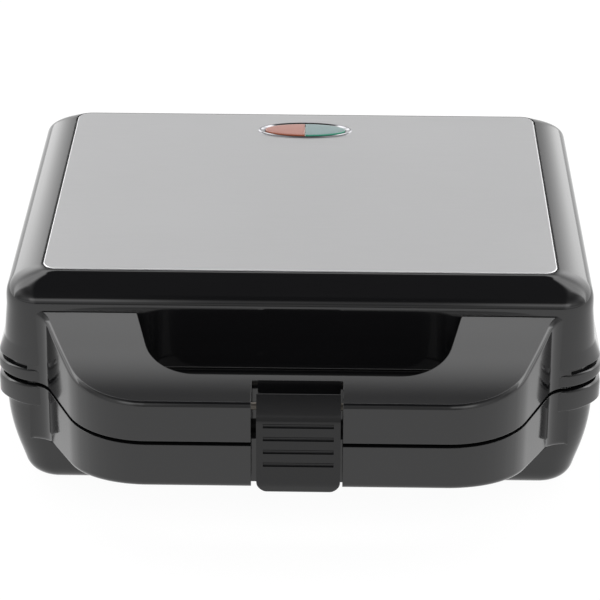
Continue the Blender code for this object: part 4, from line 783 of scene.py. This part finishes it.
window = disc(mm(18.4), (0, lamp_y), 72, 5.9 / 18.4)
pin = middle_of("latch_pin")
tools = [prism("window", window, split_z + mm(35), split_z + mm(50)), latch_notch(UP, mm(14.2)),
         bore(pin, LATCH_BORE, mm(44.8), "X"), bore((0, hinge_y, split_z), HINGE_BORE, WIDTH, "X"),
         *screw_bores("upper", UP, mm(48)), *handle_hollows("lid_hollow", UP, lid_profile)]
upper = change(upper, tools, "DIFFERENCE")
foot_names = ("front_left_foot", "front_right_foot", "rear_left_foot", "rear_right_foot")
tools = [bore(middle_of(name), mm(3.3), mm(14), "Z") for name in foot_names]
tools += screw_bores("lower", DOWN, mm(51))
tools += [latch_notch(DOWN, mm(6)), bore((0, hinge_y, split_z), HINGE_BORE, WIDTH, "X")]
tools += handle_hollows("base_hollow", DOWN, base_profile)
gland = middle_of("cord_gland")
tools.append(bore((gland.x, gland.y + mm(1), gland.z), mm(6.5), mm(12), "Y"))
lower = change(lower, tools, "DIFFERENCE")
for piece, name, body in ((upper, "upper_housing", "lid"), (lower, "lower_housing", "base")):
    piece.name = name + "_shell"
    piece.data.materials.clear()
    piece.data.materials.append(black_gloss)
    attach(piece, body)
    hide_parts(name)
print("finished shells:", len(upper.data.polygons), len(lower.data.polygons), "faces")

# %% [markdown]
# The panel is a thin sheet with its edge rolled down into the recess, and the window over the lamps is a low
# plated ring round two tinted domes. The clip is a bent plate with four grooves and rounded lower corners.
# %% Panel and window
def finished(piece, node_name, body, finish):
    """Name a piece after its solid, give it one finish and let it ride a body."""
    piece.name = node_name + "_fine"
    piece.data.materials.clear()
    piece.data.materials.append(finish)
    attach(piece, body)
    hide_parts(node_name)
    return piece


PANEL_X, PANEL_Y, PANEL_TOP = WIDTH / 2 - SIDE_SHOULDER - mm(0.8), DEPTH / 2 - END_SHOULDER - mm(0.8), mm(45.3)


def panel_ring(rise, inward):
    corner = mm(5.8) - inward
    return at_rise(rounded(rectangle(PANEL_X - inward, PANEL_Y - inward, corner), 12), rise, UP)


edge = [panel_ring(PANEL_TOP - mm(0.45) * (1 - sin(radians(15 * k))), mm(0.45) * (1 - cos(radians(15 * k))))
        for k in range(7)]
sheet = loft("panel", [panel_ring(RECESS_RISE + mm(0.3), 0), *edge, panel_ring(PANEL_TOP, mm(0.8))])
RING_X, RING_Y = mm(20.6), mm(8.3)
hole = disc(RING_X - mm(0.8), (0, lamp_y), 96, (RING_Y - mm(0.8)) / (RING_X - mm(0.8)))
sheet = change(sheet, [prism("window", hole, split_z + mm(40), split_z + mm(48))], "DIFFERENCE")
finished(sheet, "top_panel", "lid", steel)


def oval(rise, inward, half_x=RING_X, half_y=RING_Y):
    """An ellipse round the lamps. Inward 1 is the ring's width: 2.9 mm at its ends and 1.3 mm in y."""
    half_x, half_y = half_x - mm(2.9) * inward, half_y - mm(1.3) * inward
    return at_rise(disc(half_x, (0, lamp_y), 96, half_y / half_x), rise, UP)


section = [(0.05, 0), (0.40, 0.06), (0.55, 0.2), (0.50, 0.35), (0.2, 0.6), (-0.1, 0.85), (-0.2, 1.0)]
rings = [oval(PANEL_TOP + mm(rise), inward) for rise, inward in section]
rings += [oval(RECESS_RISE + mm(0.3), 1.0), oval(RECESS_RISE + mm(0.3), 0.8), oval(PANEL_TOP - mm(0.4), 0.8)]
rings.append(oval(PANEL_TOP + mm(0.04), 0.5))
finished(loft("ring", rings, closed=True), "lamp_bezel", "lid", chrome)
for name, sx, finish in (("red_lens", -1, red_plastic), ("green_lens", 1, green_plastic)):
    dome = [(-1.9, 0), (0.3, 0), (0.45, 0.12), (0.55, 0.35), (0.65, 1.2), (0.7, 2.6)]
    rings = [oval(PANEL_TOP + mm(rise), 0, mm(17.5) - mm(step), mm(6.5) - mm(step) / 2) for rise, step in dome]
    gap = [(-sx * mm(30), mm(40)), (sx * mm(0.8), mm(40)), (sx * mm(0.8), LID_RISE + mm(0.1)),
           (sx * mm(0.2), LID_RISE + mm(0.1)), (sx * mm(0.2), mm(50)), (-sx * mm(30), mm(50))]
    half = [(x, split_z + rise) for x, rise in gap]
    other_half = prism("half", half, lamp_y - mm(20), lamp_y + mm(20), along="Y")
    finished(change(loft(name, rings), [other_half], "DIFFERENCE"), name, "lid", finish)

# %% Latch clip
CLIP_X, CLIP_SHIFT, CLIP_CORNER = mm(15.95), mm(0.6), mm(5.4)
clip_front = handle_front - latch_proud
clip_low, clip_pin = split_z - mm(20.7), middle_of("latch_pin")
sheet_t = mm(2.6)
back_y, foot_y, foot_top = clip_front + sheet_t, handle_front + mm(3.3), clip_low + mm(2.2)
barrel_y, barrel_low, barrel_high = clip_pin.y + mm(3), clip_pin.z - mm(3), clip_pin.z + mm(3)
profile = [
    (clip_front + mm(6.0), split_z + mm(19.5), mm(0.5)), (clip_front, split_z + mm(11.0), mm(7)),
    (clip_front, clip_low + mm(4.0), mm(7)), (clip_front + mm(1.4), clip_low, mm(1.2)),
    (foot_y, clip_low, mm(0.5)), (foot_y, foot_top, mm(0.5)),
    (back_y, foot_top, mm(1.0)), (back_y, clip_pin.z - mm(5.6), mm(1.2)),
    (clip_pin.y, barrel_low, mm(0.5)), (barrel_y, barrel_low, mm(2.7)), (barrel_y, barrel_high, mm(2.7)),
    (clip_pin.y, barrel_high, mm(0.5)), (clip_front + mm(7.9), split_z + mm(17.7), mm(0.5)),
]
clip = prism("clip", rounded(profile, 10), CLIP_SHIFT - CLIP_X, CLIP_SHIFT + CLIP_X, along="X")
clip_tools = [bore(clip_pin, LATCH_BORE, mm(40), "X")]
for k in range(4):
    groove = disc(mm(0.9), (clip_front, split_z + mm(0.3 + (k - 1.5) * 5.5)), 24)
    clip_tools.append(prism("groove", groove, CLIP_SHIFT - mm(13.4), CLIP_SHIFT + mm(13.4), along="X"))
for sx in (-1, 1):
    turn = [(CLIP_X - CLIP_CORNER * (1 - sin(a)), clip_low + CLIP_CORNER * (1 - cos(a)))
            for a in (radians(7.5 * k) for k in range(13))]
    waste = turn + [(CLIP_X + mm(3), clip_low + CLIP_CORNER), (CLIP_X + mm(3), clip_low - mm(3)),
                    (CLIP_X - CLIP_CORNER, clip_low - mm(3))]
    corner = [(CLIP_SHIFT + sx * x, z) for x, z in waste]
    clip_tools.append(prism("corner", corner, handle_front - mm(8), handle_front + mm(12), along="Y"))
finished(change(clip, clip_tools, "DIFFERENCE"), "latch_clip", "latch", black_satin)
# The latch pin is plated steel; giving it the darker, rougher sheath finish is painted shade, so it stays dark
# in the notch.
frame["nodes"]["latch_pin"].data.materials[0] = sheath
